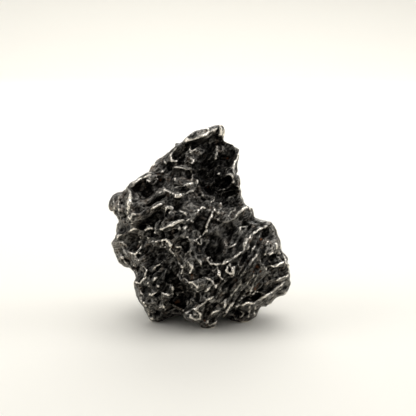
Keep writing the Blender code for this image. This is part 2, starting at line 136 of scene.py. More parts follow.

# Crests of the front on the picture, in millimetres: name, path, half width, rise and how brightly it is worn,
# which also sets its painted highlights and painted flank light
CRESTS = (
    ("cap rim", ((-2.2, 37.4), (0.4, 38.1), (1.4, 38.6), (2.6, 39.3), (3.5, 39.7)), 0.3, 0.7, 1),
    ("cap second rim", ((1, 37.6), (2, 38.3), (3, 39.2)), 0.2, 0.4, 0.8),
    ("cap branch", ((1.4, 40.1), (1.8, 39)), 0.2, 0.3, 0.7),
    ("tip", ((4, 40.4), (4.3, 38.6), (3.4, 38)), 0.3, 0.5, 1),
    ("right silhouette of the tip", ((4.9, 40), (5, 39), (4.5, 38), (4.8, 37.4),
                                     (6.4, 36.6), (7.9, 35.7), (8.4, 35)),
     0.22, 0.3, 0.75),
    ("cap left end", ((-2.8, 37), (-2, 37.5)), 0.3, 0.4, 0.8),
    ("V ridge", ((-1.8, 36.4), (-2, 34.9), (-0.2, 36)), 0.2, 0.5, 0.8),
    ("small loop", ((-2.2, 33.8), (-1.3, 33.5), (-1.6, 32.8), (-2.3, 33.1)), 0.2, 0.4, 0.7),
    ("upright ridge", ((3.2, 36.8), (3.3, 35.2), (3.2, 33.8)), 0.22, 0.6, 0.7),
    ("upright ridge nub", ((3.1, 34), (3.3, 33.5)), 0.3, 0.4, 0.9),
    ("flank loop", ((-4.7, 35.8), (-5.9, 34.4), (-5.7, 33.2), (-4.8, 33.2), (-4, 33.8)), 0.25, 0.55, 0.9),
    ("flank streak", ((-11, 31), (-8.4, 33.4), (-5.6, 35.6)), 0.2, 0.25, 0.45),
    ("flank streak two", ((-10, 30.6), (-8, 32.2)), 0.18, 0.2, 0.4),
    ("flank bit", ((-7.1, 33.4), (-6.7, 32.4)), 0.2, 0.3, 0.6),
    ("flank nub", ((-7.9, 30.9), (-7.2, 31.2)), 0.22, 0.3, 0.8),
    ("shoulder crest", ((-13.6, 28), (-12.5, 29.1), (-11.3, 29.9), (-9.9, 30.4)), 0.3, 0.6, 0.9),
    ("shoulder bar", ((-10.7, 29.6), (-9.7, 28.8)), 0.22, 0.4, 0.8),
    ("shoulder dot", ((-10.6, 25.4), (-10.3, 25.3)), 0.22, 0.4, 0.8),
    ("left ridge", ((-14.1, 27.4), (-13.8, 26.6), (-14.1, 25), (-14.4, 23.6), (-14.4, 22)), 0.46, 0.8, 1),
    ("left ridge foot", ((-14.4, 22), (-14, 21.5), (-13.5, 22.7), (-12.8, 22.5)), 0.24, 0.5, 0.85),
    ("left nub", ((-13.7, 24.7), (-13.4, 24.4)), 0.22, 0.3, 0.8),
    ("left nub two", ((-13.7, 23.5), (-13.4, 23.2)), 0.22, 0.3, 0.8),
    ("lobe crest", ((-17.4, 25.6), (-17, 24.2), (-17.3, 22.6), (-16.6, 21.6)), 0.25, 0.35, 0.7),
    ("lobe crest two", ((-16.4, 26.6), (-16.2, 24.6), (-16.3, 22.8)), 0.22, 0.35, 0.6),
    ("ledge", ((-5, 31.9), (-3.6, 31.8), (-2, 31.4)), 0.24, 0.5, 0.75),
    ("square bump", ((-5.8, 29.6), (-5, 29.6), (-5, 29)), 0.2, 0.35, 0.6),
    ("curved ridge", ((-1.9, 31.3), (-1.5, 30.4), (-1.7, 29.4)), 0.22, 0.45, 0.7),
    ("bump", ((-0.6, 29.6), (-0.5, 28.6)), 0.25, 0.4, 0.6),
    ("strip", ((-5.1, 27.8), (-3.2, 28.3), (-1.1, 28.8)), 0.2, 0.35, 0.6),
    ("strip two", ((-3.4, 26.7), (-0.9, 27.4)), 0.2, 0.35, 0.55),
    ("curl", ((-8.1, 26.8), (-7.4, 27.5), (-6.2, 27), (-4.2, 26.3)), 0.22, 0.4, 0.6),
    ("right wing", ((7.9, 35.1), (7.5, 34.1), (7.1, 33.1), (6.7, 32.4), (6.7, 31.3), (6.8, 30.2)),
     0.28, 0.6, 0.9),
    ("arch", ((4.2, 29.6), (5.1, 30.3), (6.1, 30.6), (6.6, 29.9), (6.8, 29), (6.1, 28.2), (4.4, 27.4)),
     0.28, 0.65, 0.95),
    ("arch bit", ((3.1, 30.4), (4, 30.8)), 0.22, 0.4, 0.8),
    ("edge right of the arch", ((7.6, 29.6), (8.2, 28.6), (8.6, 27.7), (8.2, 27.1), (8.1, 26.2), (8.6, 25.2)),
     0.24, 0.35, 0.8),
    ("bit right of the arch", ((7.1, 28.3), (7.7, 28), (8.2, 27.4)), 0.22, 0.4, 0.85),
    ("nub ridge", ((3, 26), (3.1, 25.6), (2.2, 25)), 0.22, 0.4, 0.8),
    ("dash one", ((5.8, 26), (6.3, 26.5)), 0.2, 0.3, 0.7),
    ("dash two", ((3.8, 24.4), (4.4, 24.9)), 0.2, 0.3, 0.6),
    ("short crest", ((-0.7, 22.8), (0.4, 24), (1.4, 23.7)), 0.24, 0.45, 0.85),
    ("lump one", ((1.6, 23.5), (2.2, 23.2)), 0.28, 0.5, 0.9),
    ("lump two", ((2.7, 23.9), (3.1, 23.1)), 0.28, 0.5, 0.85),
    ("lump three", ((3.4, 23), (3.9, 22.7)), 0.25, 0.4, 0.8),
    ("lump four", ((3.2, 21.8), (3.9, 21.2)), 0.26, 0.4, 0.85),
    ("middle crest", ((2.5, 22.9), (1.9, 21.5), (1.3, 20.2), (1.2, 19.5), (0.5, 18.4)), 0.28, 0.65, 1),
    ("triangular loop", ((0.5, 18.4), (-1, 17.3), (-0.1, 16.5), (0.2, 16.6), (0.3, 17.6), (-0.3, 17.7)),
     0.22, 0.5, 0.9),
    ("hollow rim", ((1.4, 13.6), (1.9, 12.7), (3.3, 12.5), (4.5, 12.7), (5.6, 13.1), (6.4, 13.8)),
     0.3, 0.8, 1),
    ("hollow rim, right", ((6.4, 13.8), (7.3, 14.2), (8.1, 14.8), (8.8, 15.5),
                           (9.2, 17), (9.9, 18.1), (10.4, 18.8)),
     0.28, 0.7, 0.9),
    ("ribbed face edge", ((10.4, 18.8), (11.3, 19), (12, 19.7), (13.4, 20.2)), 0.25, 0.5, 0.8),
    ("hollow curl", ((5.9, 15.9), (6.4, 16.3), (7.1, 16.6)), 0.24, 0.5, 0.85),
    ("teardrop", ((5.4, 12.5), (5.4, 11.5), (5.7, 10.8), (6.4, 10.7), (6.7, 11.3), (6.3, 12), (5.8, 12.6)),
     0.28, 0.8, 1),
    ("tail", ((3.5, 12.1), (3.8, 11.1), (4, 10.1), (4.7, 9.6)), 0.26, 0.7, 0.9),
    ("upper right lump", ((7.1, 21.9), (8.1, 23.2), (9.2, 23.9), (9.9, 24.2), (10.2, 22.9)), 0.28, 0.55, 0.85),
    ("upper right crest", ((7.7, 19), (8.2, 20), (9.2, 20.1)), 0.25, 0.5, 0.8),
    ("upper right crest two", ((5.8, 22.2), (6.6, 23.4), (7.6, 24.2)), 0.22, 0.4, 0.6),
    ("rib one", ((12, 14.9), (10.6, 13.6), (9.8, 12.2)), 0.22, 0.45, 0.65),
    ("rib two", ((13.7, 17.4), (12.9, 16.2)), 0.22, 0.4, 0.65),
    ("rib three", ((11.1, 16.2), (10.2, 14.9)), 0.22, 0.4, 0.6),
    ("rib four", ((11.1, 11.3), (10.2, 9.6), (9.2, 8.2)), 0.22, 0.45, 0.6),
    ("rib five", ((11.5, 10.6), (10.6, 8.5), (9.8, 6.6), (7.8, 5.5)), 0.22, 0.45, 0.6),
    ("rib six", ((10, 13), (8.6, 11), (7.2, 8.8), (5.6, 7)), 0.2, 0.4, 0.5),
    ("rib seven", ((13.2, 15), (11.8, 12.8), (12.4, 11.6)), 0.2, 0.4, 0.5),
    ("rib eight", ((8.6, 9.4), (7.2, 7.4), (6.2, 6)), 0.2, 0.4, 0.55),
    ("slot upper rim", ((12.3, 13.8), (13.2, 14.4), (14.1, 14.8), (16, 14.8)), 0.24, 0.5, 0.75),
    ("slot lower rim", ((13.3, 12.5), (14.6, 12.2), (15.7, 12.5), (16.8, 13.1)), 0.24, 0.5, 0.85),
    ("right blob", ((15.1, 17), (15.4, 15.5)), 0.28, 0.4, 0.8),
    ("right line", ((15.4, 9.4), (17.5, 10.4)), 0.22, 0.4, 0.75),
    ("right streak", ((14.4, 6.9), (15.4, 7.9)), 0.22, 0.35, 0.7),
    ("right arc", ((10.2, 6.5), (11.3, 7), (12.5, 6.9), (13.2, 6.3)), 0.24, 0.5, 0.85),
    ("right edge", ((16.5, 17.9), (16.1, 16.2), (16.7, 14.3), (17.6, 12.2), (18.1, 9.4)), 0.22, 0.25, 0.6),
    ("hook", ((-16.7, 17.6), (-16.2, 18.3), (-15.6, 18.6)), 0.26, 0.5, 0.9),
    ("hook lower", ((-16.4, 17.2), (-15.5, 16.9), (-14.9, 16.5)), 0.24, 0.5, 0.9),
    ("left arc", ((-14.2, 19.1), (-13.4, 19.6), (-12.5, 19.7), (-12, 19.4)), 0.26, 0.55, 0.85),
    ("nose arc", ((-10.9, 19.4), (-10.1, 19.9), (-9, 19.7)), 0.26, 0.5, 0.85),
    ("nose arc lower", ((-10.6, 18), (-9.8, 17.7), (-8.8, 18.1)), 0.22, 0.35, 0.55),
    ("bar end", ((-7.9, 19.5), (-7.4, 19.8)), 0.32, 0.5, 1),
    ("bar top", ((-7.6, 19.7), (-6.4, 20.3), (-4.7, 20.9), (-3.2, 21.5)), 0.3, 0.7, 1),
    ("bar curl", ((-4.2, 20.3), (-4.1, 19.2)), 0.24, 0.5, 0.85),
    ("bar curl two", ((-3.5, 19.9), (-3, 19.7), (-2.1, 20.2)), 0.24, 0.5, 0.9),
    ("bar loop", ((-2.9, 21.2), (-2.1, 21.5), (-1.5, 20.9)), 0.24, 0.5, 0.9),
    ("blob", ((-6.9, 23.1), (-6.5, 23.7), (-5.6, 23.9), (-6.2, 22.6)), 0.28, 0.5, 0.95),
    ("blob crest", ((-4.3, 23.5), (-3.3, 23), (-2.3, 22.1)), 0.26, 0.5, 0.9),
    ("plank edge", ((-12.6, 21.8), (-10, 23.5), (-6.8, 25), (-4, 26.4)), 0.18, 0.25, 0.35),
    ("spike", ((-9.4, 17), (-8, 17.2), (-6.6, 17.5), (-6, 16.6), (-5.8, 15.2), (-4.8, 13.8)), 0.27, 0.65, 0.9),
    ("left crest", ((-11.5, 16.6), (-12.3, 15.1), (-13, 14.6), (-12.3, 13.3)), 0.26, 0.55, 0.85),
    ("left crest branch", ((-13, 14.6), (-14.3, 15.1)), 0.22, 0.4, 0.7),
    ("pit arc", ((-4.8, 16), (-4, 16.2), (-3.4, 15.6)), 0.24, 0.45, 0.85),
    ("pit arc upper", ((-2.8, 18), (-2, 17.4), (-1.8, 16.4)), 0.22, 0.4, 0.6),
    ("lower left crest", ((-13.1, 9.1), (-12.1, 8.8), (-11, 9.8), (-10.6, 11.2), (-11.3, 12.2)),
     0.25, 0.55, 0.8),
    ("lower left bit", ((-9.6, 11.4), (-8.8, 12.1), (-7.9, 12.6)), 0.24, 0.5, 0.8),
    ("lower left curl", ((-9.4, 9.1), (-9, 9.8), (-8.2, 10.2)), 0.24, 0.5, 0.8),
    ("lower left dash", ((-8.6, 8.4), (-8, 8.1)), 0.2, 0.35, 0.7),
    ("lower left bow", ((-10.4, 6.9), (-9.7, 6.3), (-9, 6.9), (-8.3, 7.2)), 0.24, 0.45, 0.8),
    ("cleft rim", ((-7.8, 7), (-7.1, 6.7), (-6.1, 6.5), (-5.4, 6.7), (-5.2, 7.9)), 0.25, 0.5, 0.85),
    ("barbell loop", ((-3, 9.8), (-2.2, 9), (-1.4, 9), (-0.6, 8), (-0.3, 8.7)), 0.24, 0.5, 0.9),
    ("barbell bit", ((-2.8, 6.9), (-2.3, 7.4)), 0.22, 0.35, 0.75),
    ("cleft upright", ((-2.6, 5.6), (-2.6, 3.8)), 0.24, 0.45, 0.75),
    ("wedge dash", ((0.9, 7.2), (2.1, 7.9)), 0.24, 0.45, 0.85),
    ("wedge crest", ((2.8, 6), (1.4, 5.3), (0.1, 4.2), (-1.9, 3.4), (-2.8, 2.8)), 0.3, 0.8, 0.95),
    ("wedge crescent", ((-2, 3.1), (-1.9, 2.1), (-1, 1.5), (-0, 1.8), (0.2, 2.8), (-1, 3.4)), 0.24, 0.5, 1),
    ("wedge slats", ((-1.6, 2.7), (-0.2, 2.3)), 0.2, 0.3, 0.8),
    ("beak tip", ((1.5, 1.6), (1.8, 0.2), (2.8, 0.4)), 0.26, 0.4, 0.85),
    ("beak loop", ((1.6, 2), (2.6, 3), (3.8, 3.4)), 0.24, 0.5, 0.85),
    ("V loop", ((-5.4, 2.2), (-4.5, 1.5), (-3.8, 2.2)), 0.24, 0.4, 0.75),
    ("beak rim", ((1.8, 0.2), (3.3, 0.9), (5.2, 2.7), (6.3, 4.7)), 0.28, 0.7, 1),
    ("beak upper loop", ((4.4, 4.8), (5.2, 5.6), (4.9, 3.8)), 0.24, 0.5, 0.9),
    ("ledge edge", ((6.7, 4.2), (9, 4.8), (10.7, 4.8), (12.8, 6.1), (15, 7.6), (17.4, 9.3)), 0.28, 0.6, 0.85),
    ("lobe edge", ((8.2, 3.2), (8.7, 2.7), (7.9, 1.6)), 0.24, 0.4, 0.8),
    ("lobe column", ((10, 4.4), (9.7, 1.8)), 0.22, 0.4, 0.6),
    ("lobe column two", ((11.2, 4.4), (10.8, 2.4)), 0.22, 0.4, 0.6),
    ("right bottom edge", ((12.1, 4.2), (13.6, 4.2), (14.6, 5.8)), 0.22, 0.3, 0.7),
    ("left base edge", ((-10.8, 3.8), (-10.2, 2.4), (-9.8, 1.6)), 0.22, 0.3, 0.6),
    ("base bit", ((-8.4, 3.6), (-7.4, 4.4), (-6.8, 3.6)), 0.22, 0.4, 0.6),
    ("base bit two", ((-12.2, 7.8), (-11.6, 6.6), (-11.8, 5.4)), 0.22, 0.4, 0.6),
    ("left flank", ((-16.4, 15.4), (-15.2, 13.4), (-13.8, 11.8)), 0.22, 0.3, 0.5),
    ("left flank two", ((-15.6, 16.2), (-14.2, 13.8)), 0.2, 0.3, 0.45),
    ("lower middle bit", ((-2.4, 13), (-1.6, 11.8), (-2, 10.6)), 0.24, 0.45, 0.7),
    ("lower middle bit two", ((-0.8, 13.8), (0.2, 12.8), (0.6, 11.4)), 0.24, 0.45, 0.65),
    ("lower middle bit three", ((1, 10.2), (2.4, 9.2), (3.2, 8)), 0.24, 0.45, 0.7),
    ("lower middle bit four", ((-4.4, 13), (-3.4, 11.8), (-3.8, 10.6)), 0.22, 0.4, 0.6),
)

# Cells that the surface is broken into: size across, depth, how tilted they are and how drawn out along the
# grain
COARSE_CELLS = ((3.4 * MM, 1.1 * MM, 0.7, 1.7), (1.9 * MM, 0.8 * MM, 0.6, 1.7))
FINE_CELLS = ((1.05 * MM, 0.45 * MM, 0.35, 1.8), (0.62 * MM, 0.15 * MM, 0.1, 1.5))
# How far cells may stand out and sink in
COARSE_BULGE, COARSE_DIP = 0.5 * MM, 1.4 * MM
FINE_BULGE, FINE_DIP = 0.25 * MM, 0.6 * MM
# The level in a cell that stays where the skin was, how wide and deep the grooves between cells are, and the most
# that a tilt counts for, as shares of a cell
CELL_LEVEL, GROOVE_WIDTH, GROOVE_DEPTH, TILT_LIMIT = 0.55, 0.16, 0.5, 1.2
# The low ridges that wind about among the fine cells: size, height and how drawn out along the grain
RIDGE_SIZE, RIDGE_HEIGHT, RIDGE_LONGER = 1.4 * MM, 0.15 * MM, 1.5
# The way that cells and ridges are drawn out
GRAIN = np.array((0.77, 0.12, 0.62)) / np.linalg.norm((0.77, 0.12, 0.62))

# How many of its half widths a crest's flanks run out to and how much of its rise it gets, in the two steps of
# relief, and how far out its wear and painted light are looked for
COARSE_FLANKS, COARSE_SHARE = 6.0, 1.0
FINE_FLANKS, FINE_SHARE = 2.5, 0.5
WEAR_AND_SHEEN_FLANKS = 5.0
# How sharply a crest's flanks rise, and how slim its ends are
FLANK_POWER, CREST_ENDS = 1.7, 0.45
# From the first of these half widths to the second, a crest grows duller between its two edges, which leaves
# its painted highlights along them
EDGED_FROM, EDGED_FULL = 0.26, 0.45
# How much of the hollows' rise comes on top of what the plain solid already has
HOLLOW_SHARE = 0.25
# How far out hollows and slabs reach, and how far out a slab's smooth face does, in their half widths
MARK_REACH, SLAB_REACH = 1.4, 1.3
# How much of the cells a slab and the ribbed face do without
SLAB_CALM, RIBS_COARSE_CALM, RIBS_FINE_CALM = 0.8, 0.5, 0.55

# Relief is held back where the stone is thinner than this, in the two steps
SOLID_DEPTH, THIN_DEPTH = 12.0 * MM, 5.0 * MM
# The share of a thin place that may go, and how deep relief may cut into a solid one
THIN_SHARE, DEEPEST_CUT = 0.06, 3.0 * MM
# The band inside the outline on which relief grows to its full height: cell in millimetres, and how many
# cells wide
OUTLINE_CELL, OUTLINE_STEPS = 0.3, 5
# How much of the cells and of the hollows and crests is left on the outline itself
OUTLINE_CELLS, OUTLINE_MARKS = 0.35, 0.75
# How far the finest tips may reach past the plain solid's box
BOX_MARGIN = 0.5 * MM
# Edges sharper than this stay sharp in the shading
SHARP_EDGE = math.radians(38.0)

# The sides that the picture doesn't show: how far round they lie, 1 for marks that lie as on the front or -1 for
# mirrored ones, and how far the marks are turned about the middle. Crests there get this share of their rise.
HIDDEN_SIDES = ((125.0, 1.0, 35.0), (-125.0, -1.0, -20.0))
HIDDEN_MIDDLE = (0.0, 17.0)
HIDDEN_SHARE = 0.6

# Starting numbers of the random draws
COARSE_SEED, FINE_SEED, RIDGE_SEED, LEAN_SEED = 100, 200, 300, 205
MARK_SEED, CREST_SEED, UNEVEN_SEED, LIT_AND_SHADED_SEED, RIB_SEED, WEAR_SEED = 61, 62, 71, 63, 55, 81

# How many noise features the iron has to the metre, and how its creases are turned and drawn out
CLOUDS, BLOTCHES, RUST_SPOTS, GRAINS, CREASES = 260.0, 700.0, 330.0, 2600.0, 2100.0
CREASE_TURN, CREASE_LONGER = math.radians(-38.8), 1.9
# Rubbed flecks on the finest creases, which also stand in for painted glints: where they start and are full, and
# how bare they are there
FLECKS = (1.45, 1.9, 0.0, 0.3)
BUMP_STRENGTH, BUMP_HEIGHT = 0.5, 0.08 * MM

# Patches of painted shade (negative) and painted light on the picture: name, place, radius and amount
LIT_AND_SHADED_PATCHES = (
    ("under the peak", (2.0, 31.0), 5.0, -0.9),
    ("right of the peak", (5.5, 28.0), 4.0, -0.8),
    ("middle", (2.5, 21.0), 4.5, 0.7),
    ("left flank", (-14.0, 24.0), 4.5, 0.5),
    ("upper left flank", (-10.0, 30.5), 5.0, 0.45),
    ("peak slab", (2.0, 38.0), 3.0, 0.5),
    ("lower left flank", (-14.2, 14.8), 3.0, 0.7),
    ("right shoulder", (15.0, 15.0), 3.5, 0.2),
    ("great hollow", (3.2, 16.4), 2.8, 0.7),
    ("planks", (-8.0, 24.0), 4.0, -0.4),
    ("ribbed face", (9.0, 11.5), 5.5, -0.4),
    ("bottom", (1.0, 4.5), 3.6, 0.9),
    ("deep cleft", (-4.0, 6.4), 1.9, -0.8),
    ("middle cleft", (-6.2, 11.0), 1.7, -0.6),
    ("upper cleft", (-6.8, 14.3), 1.5, -0.5),
)

# The ribbed face, from its top to its bottom on the picture, in millimetres
RIBS_FROM, RIBS_TO = (12.6, 19.0), (3.4, 4.2)
RIBS_LONG, RIBS_WIDE, RIB_PITCH = 17.0, 8.0, 1.15
RIB_RISE = 0.5 * MM

# The floor in metres: how far it runs to the front and back, its half width, its height behind and its bend
FLOOR_FRONT, FLOOR_BACK, FLOOR_HALF_WIDTH = 0.8, 0.9, 1.6
FLOOR_HEIGHT, FLOOR_BEND = 1.1, 0.35
FLOOR_BEND_STEPS = 12

# The studio's lights: name, setting with its power, place, what it aims at, and size
STONE_MIDDLE = (0.0, 0.0, 0.018)
LIGHTS = (
    ("overhead", "overhead", (0.0, 0.1, 0.62), STONE_MIDDLE, (0.9, 0.7)),
    ("top", "top", (0.08, 0.05, 0.4), STONE_MIDDLE, (0.3, 0.25)),
    ("back", "back", (0.05, 0.62, 0.42), STONE_MIDDLE, (0.7, 0.3)),
    ("low back", "low_back", (0.03, 0.5, 0.2), STONE_MIDDLE, (0.4, 0.15)),
    ("left", "left", (-0.6, -0.05, 0.32), STONE_MIDDLE, (0.4, 0.5)),
    ("right", "right", (0.62, 0.05, 0.3), STONE_MIDDLE, (0.4, 0.5)),
    ("backdrop", "behind", (0.0, 0.25, 0.75), (0.0, 0.85, 0.25), (1.2, 0.4)),
)


def smooth_step(x, low, high):
    t = np.clip((x - low) / (high - low), 0.0, 1.0)
    return t * t * (3.0 - 2.0 * t)


def read_points(stone):
    flat = np.empty(len(stone.data.vertices) * 3, np.float32)
    stone.data.vertices.foreach_get("co", flat)
    return flat.reshape(-1, 3).astype(float)


def write_points(stone, points):
    stone.data.vertices.foreach_set("co", points.astype(np.float32).ravel())
    stone.data.update()


class Skin:
    """A stone's points with who neighbours whom, for averaging over the surface."""

    def __init__(self, stone):
        self.stone = stone
        self.points = read_points(stone)
        ends = np.empty(len(stone.data.edges) * 2, np.int32)
        stone.data.edges.foreach_get("vertices", ends)
        self.one, self.other = ends.reshape(-1, 2).T
        self.count = len(self.points)
        self.neighbours = np.maximum(
            np.bincount(self.one, minlength=self.count) + np.bincount(self.other, minlength=self.count), 1
        )

    def average(self, values, steps, share=0.5):
        """Values after some steps of moving each towards the mean of its neighbours."""
        values = values.copy()
        columns = values if values.ndim == 2 else values[:, None]
        for _ in range(steps):
            for axis in range(columns.shape[1]):
                column = columns[:, axis]
                around = np.bincount(self.one, column[self.other], self.count)
                around += np.bincount(self.other, column[self.one], self.count)
                columns[:, axis] += share * (around / self.neighbours - column)
        return values

    def normals(self, steps):
        flat = np.empty(self.count * 3, np.float32)
        self.stone.data.vertex_normals.foreach_get("vector", flat)
        normals = self.average(flat.reshape(-1, 3).astype(float), steps)
        return normals / np.maximum(np.linalg.norm(normals, axis=1, keepdims=True), TINY)

    def relief(self, normals, steps):
        """How far each point stands out of the surface as averaged over its surroundings."""
        return ((self.points - self.average(self.points, steps)) * normals).sum(1)


def soft_noise(points, size, seed, channels=1):
    """Smooth random values from -1 to 1 that change over the given size."""
    table = 32
    lattice = np.random.default_rng(seed).uniform(-1.0, 1.0, (table, table, table, channels))
    scaled = points / size
    cell = np.floor(scaled).astype(int)
    part = scaled - cell
    part = part * part * (3.0 - 2.0 * part)
    total = np.zeros((len(points), channels))
    for corner in product((0, 1), repeat=3):
        weight = np.prod(np.where(np.array(corner) == 1, part, 1.0 - part), axis=1)
        at = (cell + corner) % table
        total += weight[:, None] * lattice[at[:, 0], at[:, 1], at[:, 2]]
    return total if channels > 1 else total[:, 0]


def plates(points, size, seed, unevenness=0.3):
    """Broken cells of about the given size: how high each point is in its hollowed cell, how high on its
    random tilt, and how near to the crest where cells meet, from 0 on it."""
    table = 32
    chance = np.random.default_rng(seed)
    centres = chance.random((table, table, table, 3))
    raised = chance.random((table, table, table)) * unevenness
    slopes = chance.normal(0.0, 1.0, (table, table, table, 3))
    scaled = points / size
    cell = np.floor(scaled).astype(int)
    part = scaled - cell
    first = np.full(len(points), np.inf)
    second = first.copy()
    tilt = np.zeros(len(points))
    for step in product((-1, 0, 1), repeat=3):
        at = tuple(((cell + step) % table).T)
        place = centres[at] + step - part
        height = (place * place).sum(1) + raised[at]
        closer = height < first
        second = np.where(closer, first, np.minimum(second, height))
        tilt = np.where(closer, -(place * slopes[at]).sum(1), tilt)
        first = np.where(closer, height, first)
    return first, tilt, second - first


def drawn_out(points, longer):
    """Points squeezed along the stone's grain, so that cells in them come out longer that way."""
    return points - np.outer(points @ GRAIN, GRAIN) * (1.0 - 1.0 / longer)


class Sight:
    """The viewer's place, and where points of the stone appear on the picture."""

    def __init__(self, studio):
        lean = studio.elevation
        self.distance = studio.distance
        self.forward = Vector((0.0, math.cos(lean), -math.sin(lean)))
        self.up = Vector((0.0, math.sin(lean), math.cos(lean)))
        foot_up = SIGHT_UP * math.cos(lean) - SIGHT_HEIGHT_CUT
        foot = Vector((SIGHT_ACROSS, SIGHT_UP * math.sin(lean), foot_up)) * MM
        self.aim = foot + SIGHT_SHIFT
        self.eye = self.aim - self.forward * self.distance

    def picture(self, points):
        """Across and up on the picture, in millimetres."""
        apart = points - np.array(self.eye)
        depth = apart @ np.array(self.forward)
        across = SIGHT_ACROSS + self.distance / MM * apart[:, 0] / depth
        up = SIGHT_UP + self.distance / MM * (apart @ np.array(self.up)) / depth
        return np.stack((across, up), axis=1)

    def seen(self, points, normals):
        """From 0 where the surface faces away from the viewer to 1 where it faces them."""
        apart = np.array(self.eye) - points
        apart /= np.linalg.norm(apart, axis=1, keepdims=True)
        return smooth_step((normals * apart).sum(1), 0.0, 0.45)


class HiddenSide:
    """A side that the picture doesn't show. The front's marks lie on it, turned and maybe mirrored."""

    def __init__(self, sight, turn, mirrored, spin):
        self.sight = sight
        self.across = np.array((math.cos(turn), math.sin(turn), 0.0))
        self.outward = np.array((math.sin(turn), -math.cos(turn), 0.0))
        self.mirrored = mirrored
        self.spin = spin

    def picture(self, points):
        middle = np.array(HIDDEN_MIDDLE)
        places = np.stack((points @ self.across * self.mirrored, points[:, 2]), axis=1) / MM - middle
        cos, sin = math.cos(self.spin), math.sin(self.spin)
        return places @ np.array(((cos, sin), (-sin, cos))) + middle

    def seen(self, points, normals):
        facing = smooth_step(normals @ self.outward, 0.35, 0.75)
        return facing * (1.0 - self.sight.seen(points, normals))


def across_path(places, path, reach):
    """The picture's points within reach of a path, their distances to it, and how far along it they lie."""
    path = np.array(path)
    low, high = path.min(0) - reach, path.max(0) + reach
    near = np.flatnonzero(((places > low) & (places < high)).all(1))
    distance, share = np.full(len(near), np.inf), np.zeros(len(near))
    lengths = np.linalg.norm(np.diff(path, axis=0), axis=1)
    total, done = max(lengths.sum(), TINY), 0.0
    for a, b, length in zip(path[:-1], path[1:], lengths):
        along = np.clip((places[near] - a) @ (b - a) / max(length * length, TINY), 0.0, 1.0)
        apart = np.linalg.norm(places[near] - a - along[:, None] * (b - a), axis=1)
        closer = apart < distance
        distance = np.where(closer, apart, distance)
        share = np.where(closer, (done + along * length) / total, share)
        done += length
    close = distance < reach
    return near[close], distance[close], share[close]


def even_skin(stone, size, face_limit=None):
    """Closes the surface over its folds with even faces, or thins the faces out to a limit."""
    if size is not None:
        skin = stone.modifiers.new("even skin", "REMESH")
        skin.mode = "VOXEL"
        skin.voxel_size = size
    if face_limit is not None:
        fewer = stone.modifiers.new("fewer faces", "DECIMATE")
        fewer.ratio = face_limit / sum(len(face.vertices) - 2 for face in stone.data.polygons)
    graph = bpy.context.evaluated_depsgraph_get()
    worked = bpy.data.meshes.new_from_object(stone.evaluated_get(graph))
    stone.modifiers.clear()
    old, stone.data = stone.data, worked
    bpy.data.meshes.remove(old)


def leave_out_crumbs(stone):
    """Leaves only the largest body, without crumbs that the relief has cut loose and doubled faces."""
    shape = bmesh.new()
    shape.from_mesh(stone.data)
    left, bodies = set(shape.verts), []
    while left:
        ends = [left.pop()]
        body = list(ends)
        while ends:
            vert = ends.pop()
            for edge in vert.link_edges:
                other = edge.other_vert(vert)
                if other in left:
                    left.remove(other)
                    ends.append(other)
                    body.append(other)
        bodies.append(body)
    bodies.sort(key=len)
    bmesh.ops.delete(shape, geom=[vert for body in bodies[:-1] for vert in body], context="VERTS")
    bmesh.ops.dissolve_degenerate(shape, edges=shape.edges, dist=0.0001 * MM)
    shape.to_mesh(stone.data)
    shape.free()
    stone.data.validate()


def copy_of_solid():
    """The plain solid as a new object with its corners joined."""
    shape = bmesh.new()
    shape.from_mesh(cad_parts["meteorite"].data)
    bmesh.ops.remove_doubles(shape, verts=shape.verts, dist=0.001 * MM)
    mesh = bpy.data.meshes.new("pitted iron")
    shape.to_mesh(mesh)
    shape.free()
    stone = bpy.data.objects.new("pitted_iron", mesh)
    bpy.context.scene.collection.objects.link(stone)
    return stone


def soften_facets(stone, steps):
    """Rounds the solid's facets away, and leaves the spots worn flat underneath as they are."""
    skin = Skin(stone)
    soft = skin.average(skin.points, steps)
    foot = 1.0 - smooth_step(skin.points[:, 2], 0.1 * MM, 0.6 * MM)
    write_points(stone, soft + (skin.points - soft) * foot[:, None])


def above_floor(points):
    """Relief fades out towards the worn spots that touch the floor."""
    return smooth_step(points[:, 2], 0.05 * MM, 1.0 * MM)


def thickness(skin, normals, limit):
    """How thick the stone is under each point, up to a limit."""
    faces = [tuple(face.vertices) for face in skin.stone.data.polygons]
    body = BVHTree.FromPolygons(skin.points.tolist(), faces)
    thick = np.full(skin.count, limit)
    starts = (skin.points - normals * 0.02 * MM).tolist()
    for i, (start, inward) in enumerate(zip(starts, (-normals).tolist())):
        hit = body.ray_cast(start, inward, limit)
        if hit[0] is not None:
            thick[i] = hit[3]
    return skin.average(thick, 2)


def held_back(rise, thick, limit):
    """Movement along the normals that leaves places thinner than the limit whole."""
    return np.maximum(rise, -THIN_SHARE * thick - DEEPEST_CUT * smooth_step(thick, 0.6 * limit, limit))


def inside_outline(skin, sight):
    """From 0 on the outline that the viewer sees to 1 well inside it."""
    cells = np.floor(sight.picture(skin.points) / OUTLINE_CELL).astype(int)
    cells -= cells.min(0) - 2
    full = np.zeros(cells.max(0) + 3, bool)
    full[tuple(cells.T)] = True
    deep = np.zeros(full.shape)
    for _ in range(OUTLINE_STEPS):
        deep += full
        inner = full[:-2, 1:-1] & full[2:, 1:-1] & full[1:-1, :-2] & full[1:-1, 2:]
        full[1:-1, 1:-1] &= inner
    return skin.average(smooth_step(deep[tuple(cells.T)], 1.0, OUTLINE_STEPS), 3)


def faded(share, inside):
    """How much relief there is, from the given share of it on the outline to all of it well inside."""
    return share + (1.0 - share) * inside


def pressed(rise, bulge, dip):
    """Rise with what stands out or sinks in pressed flat towards the given height and depth."""
    return np.where(rise > 0.0, bulge * np.tanh(rise / bulge), dip * np.tanh(rise / dip))


